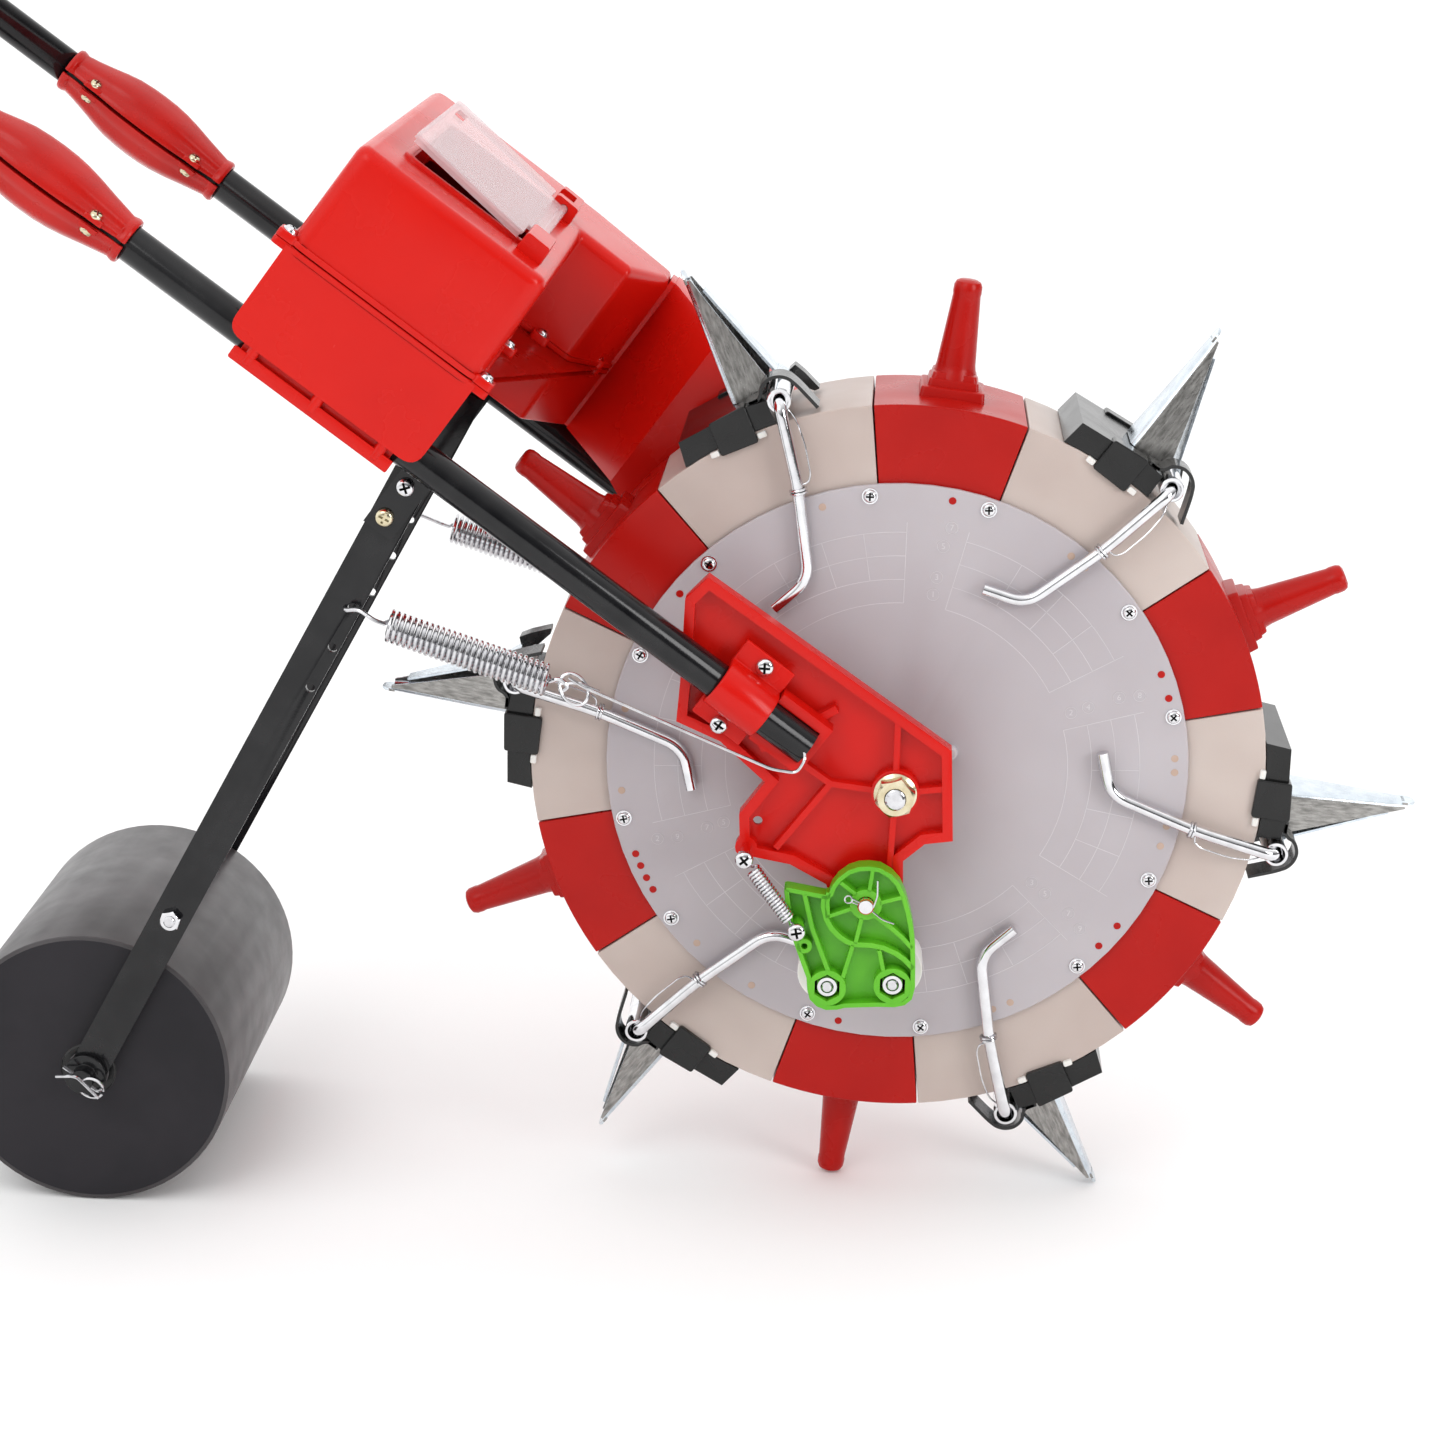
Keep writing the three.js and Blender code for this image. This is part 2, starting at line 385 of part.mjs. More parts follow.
// chute: carries seed from the hopper's neck into the wheel's far side
{
  const st = (s, t) => { const a = rad(TUBE_PITCH); return [s * Math.cos(a) + t * Math.sin(a), -s * Math.sin(a) + t * Math.cos(a)]; };
  const P = (s, y, t) => { const [x, z] = st(s, t); return [x, y, z]; };
  const body = (e, first) => {
    const a = hull([
      P(first, 99 + e, 5.2 + e), P(first, 122 - e, 5.2 + e), P(first, 99 + e, 103 - e), P(first, 122 - e, 103 - e),
      P(-195, 48.3 + e, 8 + e), P(-195, 110 - e, 6 + e), P(-195, 48.3 + e, 103 - e), P(-195, 110 - e, 103 - e),
    ]);
    const b = hull([
      P(-196, 48.3 + e, 8 + e), P(-196, 110 - e, 6 + e), P(-196, 48.3 + e, 103 - e), P(-196, 110 - e, 103 - e),
      P(-150, 48.3 + e, 8 + e), P(-150, 94 - e, 8 + e), P(-150, 48.3 + e, 103 - e), P(-150, 94 - e, 103 - e),
    ]);
    const ring = arc(0, 0, 72 - e, 0, 360, 28).slice(1);
    const flat = (y) => [...ring.map(([x, z]) => [x, y, z]), P(-196 + e, y, 8 + e), P(-190 + e, y, 103 - e), P(-137 - e, y, 103 - e)];
    const c = hull([...flat(48.3 + e), ...flat(94 - e)]);
    return join(a, b, c);
  };
  const chute = cut(
    join(cut(body(0, -229), body(2.5, -229.6)), cylY(0, 0, 43, 49, 56, 40)),
    cylY(0, 0, 40, 52, 53, 40), cylY(0, 0, 85, 100, 9, 20), hull([P(-233, 101.5, 7.7), P(-233, 119.5, 7.7), P(-233, 101.5, 100.5), P(-233, 119.5, 100.5), P(-226, 101.5, 7.7), P(-226, 119.5, 7.7), P(-226, 101.5, 100.5), P(-226, 119.5, 100.5)]),
  );
  put(machine, "seed_chute", chute, RED, 0.35);
}

// ---- press roller -------------------------------------------------------
const armDir = [ROLLER.x - ARM_PIVOT[0], ROLLER.z - ARM_PIVOT[1]];
const armLen = Math.hypot(...armDir);
const ua = [armDir[0] / armLen, armDir[1] / armLen];
const onArm = (d) => [ARM_PIVOT[0] + ua[0] * d, ARM_PIVOT[1] + ua[1] * d];
for (const [name, side] of [["arm_near", 1], ["arm_far", -1]]) {
  const Y = side > 0 ? (y) => y : far;
  const y0 = Math.min(Y(-81.5), Y(-78.5)), y1 = Math.max(Y(-81.5), Y(-78.5));
  let a = join(bar(onArm(-10), onArm(armLen), ARM_W, y0, y1), cylY(ROLLER.x, ROLLER.z, y0, y1, ARM_W / 2, 28));
  a = cut(a, cylY(ROLLER.x, ROLLER.z, y0 - 2, y1 + 2, 6.3, 24));
  for (const [x, z] of [[-267.7, 84.3], [-277.8, 63.7], [-289.1, 42.8]]) a = cut(a, cylY(x, z, y0 - 2, y1 + 2, 2.4, 14));
  put(machine, name, a, BLACK, 0.3, 0.4);
}
put(machine, "roller_axle", join(
  cylY(ROLLER.x, ROLLER.z, -92, far(-92), 6, 24),
  cylY(ROLLER.x, ROLLER.z, -84.2, -81.8, 11, 24), cylY(ROLLER.x, ROLLER.z, far(-81.8), far(-84.2), 11, 24),
), CHROME, 0.25, 1);
put(machine, "roller", cut(
  join(
    cut(cylY(ROLLER.x, ROLLER.z, ROLLER.y0, ROLLER.y1, ROLLER.r, 72), cylY(ROLLER.x, ROLLER.z, ROLLER.y0 + 3, ROLLER.y1 - 3, ROLLER.r - 3.2, 60)),
    cylY(ROLLER.x, ROLLER.z, ROLLER.y0 - 1.6, ROLLER.y1 + 1.6, 11, 28),
  ),
  cylY(ROLLER.x, ROLLER.z, ROLLER.y0 - 5, ROLLER.y1 + 5, 6.1, 24),
  cylY(ROLLER.x + 30, ROLLER.z + 34, ROLLER.y1 - 10, ROLLER.y1 + 5, 7, 20),
), 0x3a3739, 0.6);

// ---- cam ----------------------------------------------------------------
const camLine = [[-13, -34.7], [-24, -38], [-30, -44.5], [-53.5, -45.9], [-39.6, -100.9], [-35.9, -107.7], [8.7, -104.1], [13.8, -95.8], [12.6, -50.9], [7.6, -42], [0, -36.2]];
const camBolts = [[-30.7, -99.9], [2.0, -96.9]];
put(machine, "cam_lever", cut(
  join(
    prism(camLine, -87, -84),
    cut(prism(camLine, -94, -86), prism(inset(camLine, 2.6), -95, -87)),
    cut(cylY(...camPivot, -94, -84, 19.9, 36), cylY(...camPivot, -95, -87, 16.5, 32)),
    cylY(...camPivot, -94, -84, 8, 24),
    ...camBolts.map((c) => cylY(...c, -94, -84, 9.5, 24)),
    bar([-18, -68], [-39, -80], 2.6, -93, -86), bar([-12, -72], [-12, -103], 2.6, -93, -86), bar([0, -68], [8, -88], 2.6, -93, -86),
    bar([-44, -52], [-42, -86], 2.6, -93, -86),
    cylY(-46, -67.6, -101, -84, 3, 14), cylY(-42.3, -78.1, -93, -84, 5, 18),
    ...camBolts.map((c) => cylY(...c, -88, -50.6, 3.2, 18)),
    ...camBolts.map((c) => cylY(...c, -84.5, -73.4, 5.2, 18)),
  ),
  cylY(...camPivot, -100, -80, 4.1, 20), cylY(-42.3, -78.1, -100, -80, 2, 12),
  ...camBolts.map((c) => cylY(...c, -95, -90, 7.2, 6)),
), GREEN, 0.35);
camBolts.forEach((c, i) => put(machine, "cam_roller_" + "ab"[i], cut(cylY(...c, -73, -51.5, 15, 32), cylY(...c, -80, -50, 3.3, 18)), 0xe9e6df, 0.5));

// ---- springs (as the cylinders their coils fill) --------------------------
function between(a, b, r, n = 18) {
  return sweep([a, b], r, n);
}
put(machine, "spring_near", between([-249, -89, 78.5], [-171, -89, 53.5], 8, 20), CHROME, 0.2, 1);
put(machine, "spring_far", between([-246, far(-89), 78], [-168, far(-89), 53], 8, 20), CHROME, 0.2, 1);
{
  const a = [-72.7, -31], b = [-46, -67.6], l = Math.hypot(b[0] - a[0], b[1] - a[1]), u = [(b[0] - a[0]) / l, (b[1] - a[1]) / l];
  put(machine, "cam_spring", between([a[0] + u[0] * 4.2, -98.8, a[1] + u[1] * 4.2], [b[0] - u[0] * 4.6, -98.8, b[1] - u[1] * 4.6], 3.8, 16), CHROME, 0.2, 1);
}

export default part;
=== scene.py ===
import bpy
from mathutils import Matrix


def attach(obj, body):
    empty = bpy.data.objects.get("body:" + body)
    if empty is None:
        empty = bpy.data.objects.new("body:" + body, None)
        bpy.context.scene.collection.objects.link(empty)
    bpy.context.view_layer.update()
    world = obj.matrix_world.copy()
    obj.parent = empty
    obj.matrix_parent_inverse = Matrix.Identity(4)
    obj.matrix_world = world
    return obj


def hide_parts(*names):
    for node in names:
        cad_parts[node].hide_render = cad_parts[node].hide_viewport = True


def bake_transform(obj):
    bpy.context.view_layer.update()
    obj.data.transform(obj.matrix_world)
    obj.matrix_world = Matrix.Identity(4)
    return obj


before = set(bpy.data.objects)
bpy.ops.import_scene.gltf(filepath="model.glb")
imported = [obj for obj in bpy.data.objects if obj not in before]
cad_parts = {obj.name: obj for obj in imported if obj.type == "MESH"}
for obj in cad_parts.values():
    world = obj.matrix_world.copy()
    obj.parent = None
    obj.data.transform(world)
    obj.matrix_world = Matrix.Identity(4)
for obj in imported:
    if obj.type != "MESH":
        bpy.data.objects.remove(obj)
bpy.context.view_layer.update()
import math
import bpy
import bmesh
from mathutils import Matrix, Vector

# ---------------------------------------------------------------- frames
# Lengths below are millimetres from the wheel's axle, +X forward, +Y away, +Z up.
O = Vector((0.36036, -0.012, 0.2417))
MM = 0.001
TILT = math.radians(35.98)
PHASE = 83.6
MACHINE = Matrix.Translation(O)
RAILS = MACHINE @ Matrix.Rotation(TILT, 4, "Y")
TY = 93.0
TT = -5.24


def station(deg):
    return MACHINE @ Matrix.Rotation(math.radians(90 - deg), 4, "Y")


def st(s, t):
    c, k = math.cos(TILT), math.sin(TILT)
    return s * c + t * k, -s * k + t * c


def far(y):
    return 24 - y


# ---------------------------------------------------------------- materials
def nodes_of(name):
    m = bpy.data.materials.new(name)
    m.use_nodes = True
    nt = m.node_tree
    b = nt.nodes["Principled BSDF"]
    return m, nt, b


def chain(nt, scale, stretch=(1, 1, 1), detail=3.0, rough=0.55):
    tc = nt.nodes.new("ShaderNodeTexCoord")
    mp = nt.nodes.new("ShaderNodeMapping")
    mp.inputs["Scale"].default_value = stretch
    nt.links.new(tc.outputs["Object"], mp.inputs["Vector"])
    nz = nt.nodes.new("ShaderNodeTexNoise")
    nz.inputs["Scale"].default_value = scale
    nz.inputs["Detail"].default_value = detail
    nz.inputs["Roughness"].default_value = rough
    nt.links.new(mp.outputs["Vector"], nz.inputs["Vector"])
    return nz


def material(name, a, b, rough=(0.3, 0.4), metal=0.0, scale=60, fine=900, bump=0.03, stretch=(1, 1, 1),
             coat=0.0, sss=0.0, spec=0.5, sheen=0.0, grain=(0.35, 0.65), aniso=0.0):
    m, nt, p = nodes_of(name)
    n1 = chain(nt, scale, stretch)
    cr = nt.nodes.new("ShaderNodeValToRGB")
    cr.color_ramp.elements[0].position = grain[0]
    cr.color_ramp.elements[1].position = grain[1]
    cr.color_ramp.elements[0].color = (*a, 1)
    cr.color_ramp.elements[1].color = (*b, 1)
    nt.links.new(n1.outputs["Fac"], cr.inputs["Fac"])
    nt.links.new(cr.outputs["Color"], p.inputs["Base Color"])
    n2 = chain(nt, scale * 2.3, stretch, 4)
    mr = nt.nodes.new("ShaderNodeMapRange")
    mr.inputs["From Min"].default_value = 0.3
    mr.inputs["From Max"].default_value = 0.7
    mr.inputs["To Min"].default_value = rough[0]
    mr.inputs["To Max"].default_value = rough[1]
    nt.links.new(n2.outputs["Fac"], mr.inputs["Value"])
    nt.links.new(mr.outputs["Result"], p.inputs["Roughness"])
    n3 = chain(nt, fine, stretch, 2)
    bp = nt.nodes.new("ShaderNodeBump")
    bp.inputs["Strength"].default_value = bump
    bp.inputs["Distance"].default_value = 0.0006
    nt.links.new(n3.outputs["Fac"], bp.inputs["Height"])
    nt.links.new(bp.outputs["Normal"], p.inputs["Normal"])
    p.inputs["Metallic"].default_value = metal
    p.inputs["Specular IOR Level"].default_value = spec
    p.inputs["Coat Weight"].default_value = coat
    p.inputs["Coat Roughness"].default_value = 0.08
    if sss:
        p.inputs["Subsurface Weight"].default_value = sss
        p.inputs["Subsurface Radius"].default_value = (0.006, 0.004, 0.003)
        p.inputs["Subsurface Scale"].default_value = 0.6
    if aniso:
        p.inputs["Anisotropic"].default_value = aniso
    return m


M = {
    "red": material("red_moulded", (0.57, 0.006, 0.003), (0.63, 0.009, 0.004), (0.22, 0.30), scale=9, fine=1400, bump=0.03, coat=0.0, sss=0.04, spec=0.24),
    "coupred": material("coupler_red", (0.44, 0.007, 0.004), (0.52, 0.010, 0.006), (0.22, 0.32), scale=30, fine=900, bump=0.06, coat=0.0, sss=0.02, spec=0.3),
    "segred": material("segment_red", (0.37, 0.004, 0.002), (0.43, 0.006, 0.003), (0.24, 0.34), scale=14, fine=1200, bump=0.04, coat=0.0, sss=0.03, spec=0.2),
    "cream": material("segment_cream", (0.47, 0.385, 0.35), (0.55, 0.47, 0.43), (0.34, 0.44), scale=11, fine=900, bump=0.05, sss=0.12, spec=0.3),
    "milk": material("disc_milky", (0.415, 0.375, 0.395), (0.475, 0.44, 0.46), (0.28, 0.38), scale=7, fine=700, bump=0.03, sss=0.2, spec=0.3),
    "line": material("disc_scribe", (0.53, 0.50, 0.515), (0.60, 0.57, 0.585), (0.3, 0.4), scale=40, fine=900, bump=0.02),
    "tan": material("hole_tan", (0.42, 0.29, 0.22), (0.50, 0.36, 0.29), (0.4, 0.5), scale=40, fine=900, bump=0.02),
    "black": material("black_moulded", (0.006, 0.006, 0.006), (0.012, 0.012, 0.012), (0.20, 0.26), scale=30, fine=1500, bump=0.03, spec=0.3, coat=0.1),
    "paint": material("black_powder_coat", (0.005, 0.005, 0.006), (0.011, 0.011, 0.012), (0.12, 0.18), scale=60, fine=1100, bump=0.04, coat=0.1, spec=0.32),
    "galv": material("zinc_sheet", (0.56, 0.62, 0.68), (0.68, 0.74, 0.79), (0.16, 0.32), metal=1.0, scale=120, fine=700, bump=0.07),
    # side-wall zinc: stretched noise for real brushed scratches; the darker tone is painted dark reflection
    "brush_and_painted_reflection": material("zinc_scratched_painted_reflection", (0.21, 0.205, 0.195), (0.40, 0.39, 0.375), (0.24, 0.40), metal=1.0, scale=140, fine=500, bump=0.22, stretch=(5, 1, 1), aniso=0.3),
    "chrome": material("bright_nickel", (0.66, 0.66, 0.68), (0.76, 0.76, 0.78), (0.06, 0.13), metal=1.0, scale=150, fine=900, bump=0.03),
    "steel": material("spring_steel", (0.56, 0.56, 0.58), (0.70, 0.70, 0.72), (0.10, 0.20), metal=1.0, scale=200, fine=900, bump=0.04),
    "brass": material("yellow_zinc", (0.60, 0.52, 0.34), (0.72, 0.66, 0.48), (0.14, 0.26), metal=1.0, scale=160, fine=900, bump=0.05),
    "green": material("green_moulded", (0.095, 0.43, 0.011), (0.13, 0.50, 0.018), (0.28, 0.38), scale=20, fine=1300, bump=0.06, sss=0.04, spec=0.4),
    "nylon": material("white_nylon", (0.72, 0.70, 0.67), (0.80, 0.78, 0.75), (0.35, 0.45), scale=40, fine=900, bump=0.05, sss=0.1),
    "drum": material("roller_side", (0.030, 0.026, 0.028), (0.055, 0.049, 0.052), (0.30, 0.42), scale=22, fine=1600, bump=0.08, spec=0.5),
    "drumend": material("roller_face", (0.016, 0.015, 0.018), (0.022, 0.020, 0.024), (0.40, 0.50), scale=18, fine=1600, bump=0.06, spec=0.2),
    "foam": material("grip_foam", (0.010, 0.010, 0.010), (0.028, 0.028, 0.028), (0.75, 0.95), scale=500, fine=900, bump=0.6, spec=0.3),
    # painted shade: near-black fill standing in for the shade inside screw recesses, tube ends, nut pockets and the
    # coupler slit
    "bore": material("painted_shade_inside", (0.004, 0.004, 0.004), (0.012, 0.011, 0.010), (0.6, 0.8), scale=100, fine=500, bump=0.1, spec=0.2),
    "grey": material("strap_black", (0.008, 0.008, 0.008), (0.016, 0.016, 0.016), (0.18, 0.28), scale=80, fine=1200, bump=0.06, coat=0.15, spec=0.4),
}


def clear_material():
    m, nt, p = nodes_of("clear_lid")
    n1 = chain(nt, 30)
    cr = nt.nodes.new("ShaderNodeValToRGB")
    cr.color_ramp.elements[0].color = (0.80, 0.60, 0.62, 1)
    cr.color_ramp.elements[1].color = (0.88, 0.70, 0.72, 1)
    nt.links.new(n1.outputs["Fac"], cr.inputs["Fac"])
    nt.links.new(cr.outputs["Color"], p.inputs["Base Color"])
    n2 = chain(nt, 60)
    mr = nt.nodes.new("ShaderNodeMapRange")
    mr.inputs["To Min"].default_value = 0.12
    mr.inputs["To Max"].default_value = 0.30
    nt.links.new(n2.outputs["Fac"], mr.inputs["Value"])
    nt.links.new(mr.outputs["Result"], p.inputs["Roughness"])
    p.inputs["Transmission Weight"].default_value = 0.15
    p.inputs["IOR"].default_value = 1.46
    p.inputs["Alpha"].default_value = 0.5
    return m


M["clear"] = clear_material()


# ---------------------------------------------------------------- mesh tools
def link(obj):
    bpy.context.scene.collection.objects.link(obj)
    return obj


def new_mesh(name, verts, faces):
    me = bpy.data.meshes.new(name)
    me.from_pydata([(x * MM, y * MM, z * MM) for x, y, z in verts], [], faces)
    me.validate()
    bm = bmesh.new()
    bm.from_mesh(me)
    bmesh.ops.remove_doubles(bm, verts=bm.verts, dist=2e-6)
    bmesh.ops.recalc_face_normals(bm, faces=bm.faces)
    bm.to_mesh(me)
    bm.free()
    return me


def merge(name, *meshes):
    bm = bmesh.new()
    for me in meshes:
        bm.from_mesh(me)
    out = bpy.data.meshes.new(name)
    bm.to_mesh(out)
    bm.free()
    return out


def moved(me, mat):
    me.transform(mat)
    return me


def prism(pts, y0, y1, name="p"):
    n = len(pts)
    v = [(x, y0, z) for x, z in pts] + [(x, y1, z) for x, z in pts]
    f = [list(range(n)), list(range(n, 2 * n))[::-1]] + [[i, (i + 1) % n, n + (i + 1) % n, n + i] for i in range(n)]
    return new_mesh(name, v, f)


def block(x0, x1, y0, y1, z0, z1):
    return prism([(x0, z0), (x1, z0), (x1, z1), (x0, z1)], y0, y1)


def lathe(profile, axis="Z", at=(0, 0, 0), n=32, name="l"):
    """profile: (radius, height) from one end to the other; ends at radius 0 close on the axis."""
    v, rings = [], []
    for r, h in profile:
        if r < 1e-6:
            rings.append([len(v)])
            v.append((0, 0, h))
        else:
            rings.append(list(range(len(v), len(v) + n)))
            v += [(r * math.cos(2 * math.pi * k / n), r * math.sin(2 * math.pi * k / n), h) for k in range(n)]
    f = []
    pairs = list(zip(rings, rings[1:]))
    if len(rings[0]) > 1 or len(rings[-1]) > 1:
        pairs.append((rings[-1], rings[0]))
    for a, b in pairs:
        for k in range(n):
            j = (k + 1) % n
            if len(a) == 1 and len(b) == 1:
                continue
            if len(a) == 1:
                f.append([a[0], b[k], b[j]])
            elif len(b) == 1:
                f.append([a[k], a[j], b[0]])
            else:
                f.append([a[k], a[j], b[j], b[k]])
    if axis == "Y":
        v = [(x, z, y) for x, y, z in v]
    elif axis == "-Y":
        v = [(x, -z, y) for x, y, z in v]
    elif axis == "X":
        v = [(z, x, y) for x, y, z in v]
    v = [(x + at[0], y + at[1], z + at[2]) for x, y, z in v]
    return new_mesh(name, v, f)


def fillet(points, r, n=4):
    """round off a line of 3-D points"""
    p = [Vector(q) for q in points]
    out = [p[0]]
    for a, b, c in zip(p, p[1:], p[2:]):
        u, w = (a - b), (c - b)
        d = min(r, u.length * 0.45, w.length * 0.45)
        s, e = b + u.normalized() * d, b + w.normalized() * d
        for i in range(n + 1):
            t = i / n
            out.append((1 - t) ** 2 * s + 2 * t * (1 - t) * b + t * t * e)
    out.append(p[-1])
    return out


def sweep(points, r, n=12, name="s", cap=True, radii=None):
    p = [Vector(q) for q in points]
    v, up = [], None
    for i, c in enumerate(p):
        a, b = p[max(i - 1, 0)], p[min(i + 1, len(p) - 1)]
        t = (b - a).normalized()
        if up is None:
            up = Vector((0, 1, 0)) if abs(t.y) < 0.9 else Vector((0, 0, 1))
        up = (up - t * up.dot(t)).normalized()
        side = t.cross(up)
        rr = radii[i] if radii else r
        for k in range(n):
            f = 2 * math.pi * k / n
            v.append(c + up * rr * math.cos(f) + side * rr * math.sin(f))
    f = []
    for i in range(len(p) - 1):
        for k in range(n):
            a, b = i * n + k, i * n + (k + 1) % n
            f.append([a, b, b + n, a + n])
    if cap:
        f.append(list(range(n))[::-1])
        f.append(list(range((len(p) - 1) * n, len(p) * n)))
    return new_mesh(name, [tuple(q) for q in v], f)


def round_poly(pts, r, n=4, skip=()):
    """fillet the corners of a closed outline; r may be one number or one per corner"""
    out = []
    k = len(pts)
    for i in range(k):
        a, b, c = Vector(pts[i - 1]), Vector(pts[i]), Vector(pts[(i + 1) % k])
        rr = r[i] if isinstance(r, (list, tuple)) else r
        u, w = a - b, c - b
        ang = u.angle(w)
        if rr <= 0 or ang > math.radians(176):
            out.append(tuple(b))
            continue
        d = min(rr / math.tan(ang / 2), u.length * 0.48, w.length * 0.48)
        s, e = b + u.normalized() * d, b + w.normalized() * d
        for j in range(n + 1):
            t = j / n
            out.append(tuple((1 - t) ** 2 * s + 2 * t * (1 - t) * b + t * t * e))
    return out


def offset(pts, d):
    """an outline moved inwards by d"""
    area = sum(pts[i][0] * pts[(i + 1) % len(pts)][1] - pts[(i + 1) % len(pts)][0] * pts[i][1] for i in range(len(pts))) / 2
    sgn = 1 if area > 0 else -1
    out = []
    n = len(pts)
    for i in range(n):
        a, b, c = Vector(pts[i - 1]), Vector(pts[i]), Vector(pts[(i + 1) % n])
        e1, e2 = (b - a).normalized(), (c - b).normalized()
        n1, n2 = Vector((-e1.y, e1.x)) * sgn, Vector((-e2.y, e2.x)) * sgn
        k = max(1 + n1.dot(n2), 0.35)
        out.append(tuple(b + (n1 + n2) * (d / k)))
    return out


def loft(rings, name="loft", cap=True):
    """rings of equal length; each is a list of 3-D points"""
    n = len(rings[0])
    v = [q for r in rings for q in r]
    f = []
    for i in range(len(rings) - 1):
        for k in range(n):
            a, b = i * n + k, i * n + (k + 1) % n
            f.append([a, b, b + n, a + n])
    if cap:
        f.append(list(range(n))[::-1])
        f.append(list(range((len(rings) - 1) * n, len(rings) * n)))
    return new_mesh(name, v, f)


def arc(cx, cz, r, a0, a1, n):
    return [(cx + r * math.cos(math.radians(a0 + (a1 - a0) * i / n)), cz + r * math.sin(math.radians(a0 + (a1 - a0) * i / n))) for i in range(n + 1)]


def evaluated(me, *mods):
    """mesh with modifiers applied; mods are (type, settings)"""
    o = link(bpy.data.objects.new("tmp", me))
    for kind, settings in mods:
        m = o.modifiers.new(kind.lower(), kind)
        for k, v in settings.items():
            setattr(m, k, v)
    dg = bpy.context.evaluated_depsgraph_get()
    dg.update()
    out = bpy.data.meshes.new_from_object(o.evaluated_get(dg))
    bpy.data.objects.remove(o)
    return out


def boolean(me, op, *others):
    for other in others:
        c = link(bpy.data.objects.new("cut", other))
        me = evaluated(me, ("BOOLEAN", {"operation": op, "object": c, "solver": "EXACT"}))
        bpy.data.objects.remove(c)
    return me


def finish_mesh(me, smooth=32, bevel=0.0, segments=3, angle=32):
    for p in me.polygons:
        p.use_smooth = True
    if bevel <= 0:
        me.set_sharp_from_angle(angle=math.radians(smooth))
    return me


def piece(name, me, mat, body, at=MACHINE, bevel=0.0, segments=3, angle=32, smooth=32, stands_for=(), weld=False, dissolve=False):
    finish_mesh(me, smooth, bevel)
    o = link(bpy.data.objects.new(name, me))
    o.matrix_world = at
    for x in (mat if isinstance(mat, (list, tuple)) else [mat]):
        if x is not None and len(me.materials) < (len(mat) if isinstance(mat, (list, tuple)) else 1):
            me.materials.append(M[x])
    if dissolve:
        d = o.modifiers.new("planar", "DECIMATE")
        d.decimate_type = "DISSOLVE"
        d.angle_limit = math.radians(1.5)
    if bevel > 0:
        b = o.modifiers.new("edges", "BEVEL")
        b.width = bevel * MM
        b.segments = segments
        b.limit_method = "ANGLE"
        b.angle_limit = math.radians(angle)
        b.harden_normals = True
        b.use_clamp_overlap = True
    if body:
        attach(o, body)
    if stands_for:
        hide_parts(*stands_for)
    return o


def dress(node, mat, bevel=0.5, segments=3, angle=35, smooth=35):
    """finish a CAD node where it stands"""
    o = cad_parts[node]
    me = o.data
    me.materials.clear()
    me.materials.append(M[mat])
    for p in me.polygons:
        p.use_smooth = True
        p.material_index = 0
    try:
        me.normals_split_custom_set([(0, 0, 0)] * len(me.loops))
    except Exception:
        pass
    w = o.modifiers.new("weld", "WELD")
    w.merge_threshold = 2e-5
    if bevel > 0:
        d = o.modifiers.new("planar", "DECIMATE")
        d.decimate_type = "DISSOLVE"
        d.angle_limit = math.radians(1.5)
        b = o.modifiers.new("edges", "BEVEL")
        b.width = bevel * MM
        b.segments = segments
        b.limit_method = "ANGLE"
        b.angle_limit = math.radians(angle)
        b.harden_normals = True
    else:
        me.set_sharp_from_angle(angle=math.radians(smooth))
    return o


# ---------------------------------------------------------------- small hardware
def cross_cut(r, depth, w):
    a = block(-r, r, -w / 2, w / 2, -depth, 5)
    b = block(-w / 2, w / 2, -r, r, -depth, 5)
    return a, b


def pan_head(r, h, washer=0.0):
    """Phillips pan head, face towards local +Z, seat at z 0"""
    prof = [(0, h), (r * 0.45, h * 0.98), (r * 0.72, h * 0.88), (r * 0.9, h * 0.66), (r, h * 0.3), (r, 0), (0, 0)]
    me = lathe(prof, n=24)
    a, b = cross_cut(r * 0.60, -h * 0.3, r * 0.27)
    me = boolean(me, "DIFFERENCE", moved(a, Matrix.Identity(4)), b)
    for p in me.polygons:  # floor and walls of the cross get slot 1, painted shade for the recess
        c = p.center * 1000
        if math.hypot(c.x, c.y) < r * 0.62 and (p.normal.z < 0.3 or c.z < h * 0.6) and c.z > 0.05:
            p.material_index = 1
    if washer:
        me = merge("screw", me, lathe([(0, 0.45), (washer * 0.96, 0.45), (washer, 0.2), (washer, -0.3), (0, -0.3)], n=24))
    return me


SCREW = pan_head(3.4, 2.3, 4.2)
SCREW_BIG = pan_head(4.6, 3.0)
SCREW_BRASS = pan_head(3.4, 2.6)


def facing(axis):
    """local +Z turned to point along axis"""
    return Vector((0, 0, 1)).rotation_difference(Vector(axis)).to_matrix().to_4x4()


def fix(name, me, mat, body, base, at, axis, spin=0.0):
    if me.materials and me.materials[0] != M[mat]:
        me = me.copy()
        me.materials.clear()
    if not me.materials:
        me.materials.append(M[mat])
        # slot 1 is painted shade for the screw's cross recess
        me.materials.append(M["bore"])
    o = link(bpy.data.objects.new(name, me))
    finish_mesh(me, 30)
    o.matrix_world = base @ Matrix.Translation(Vector(at) * MM) @ facing(axis) @ Matrix.Rotation(spin, 4, "Z")
    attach(o, body)
    return o


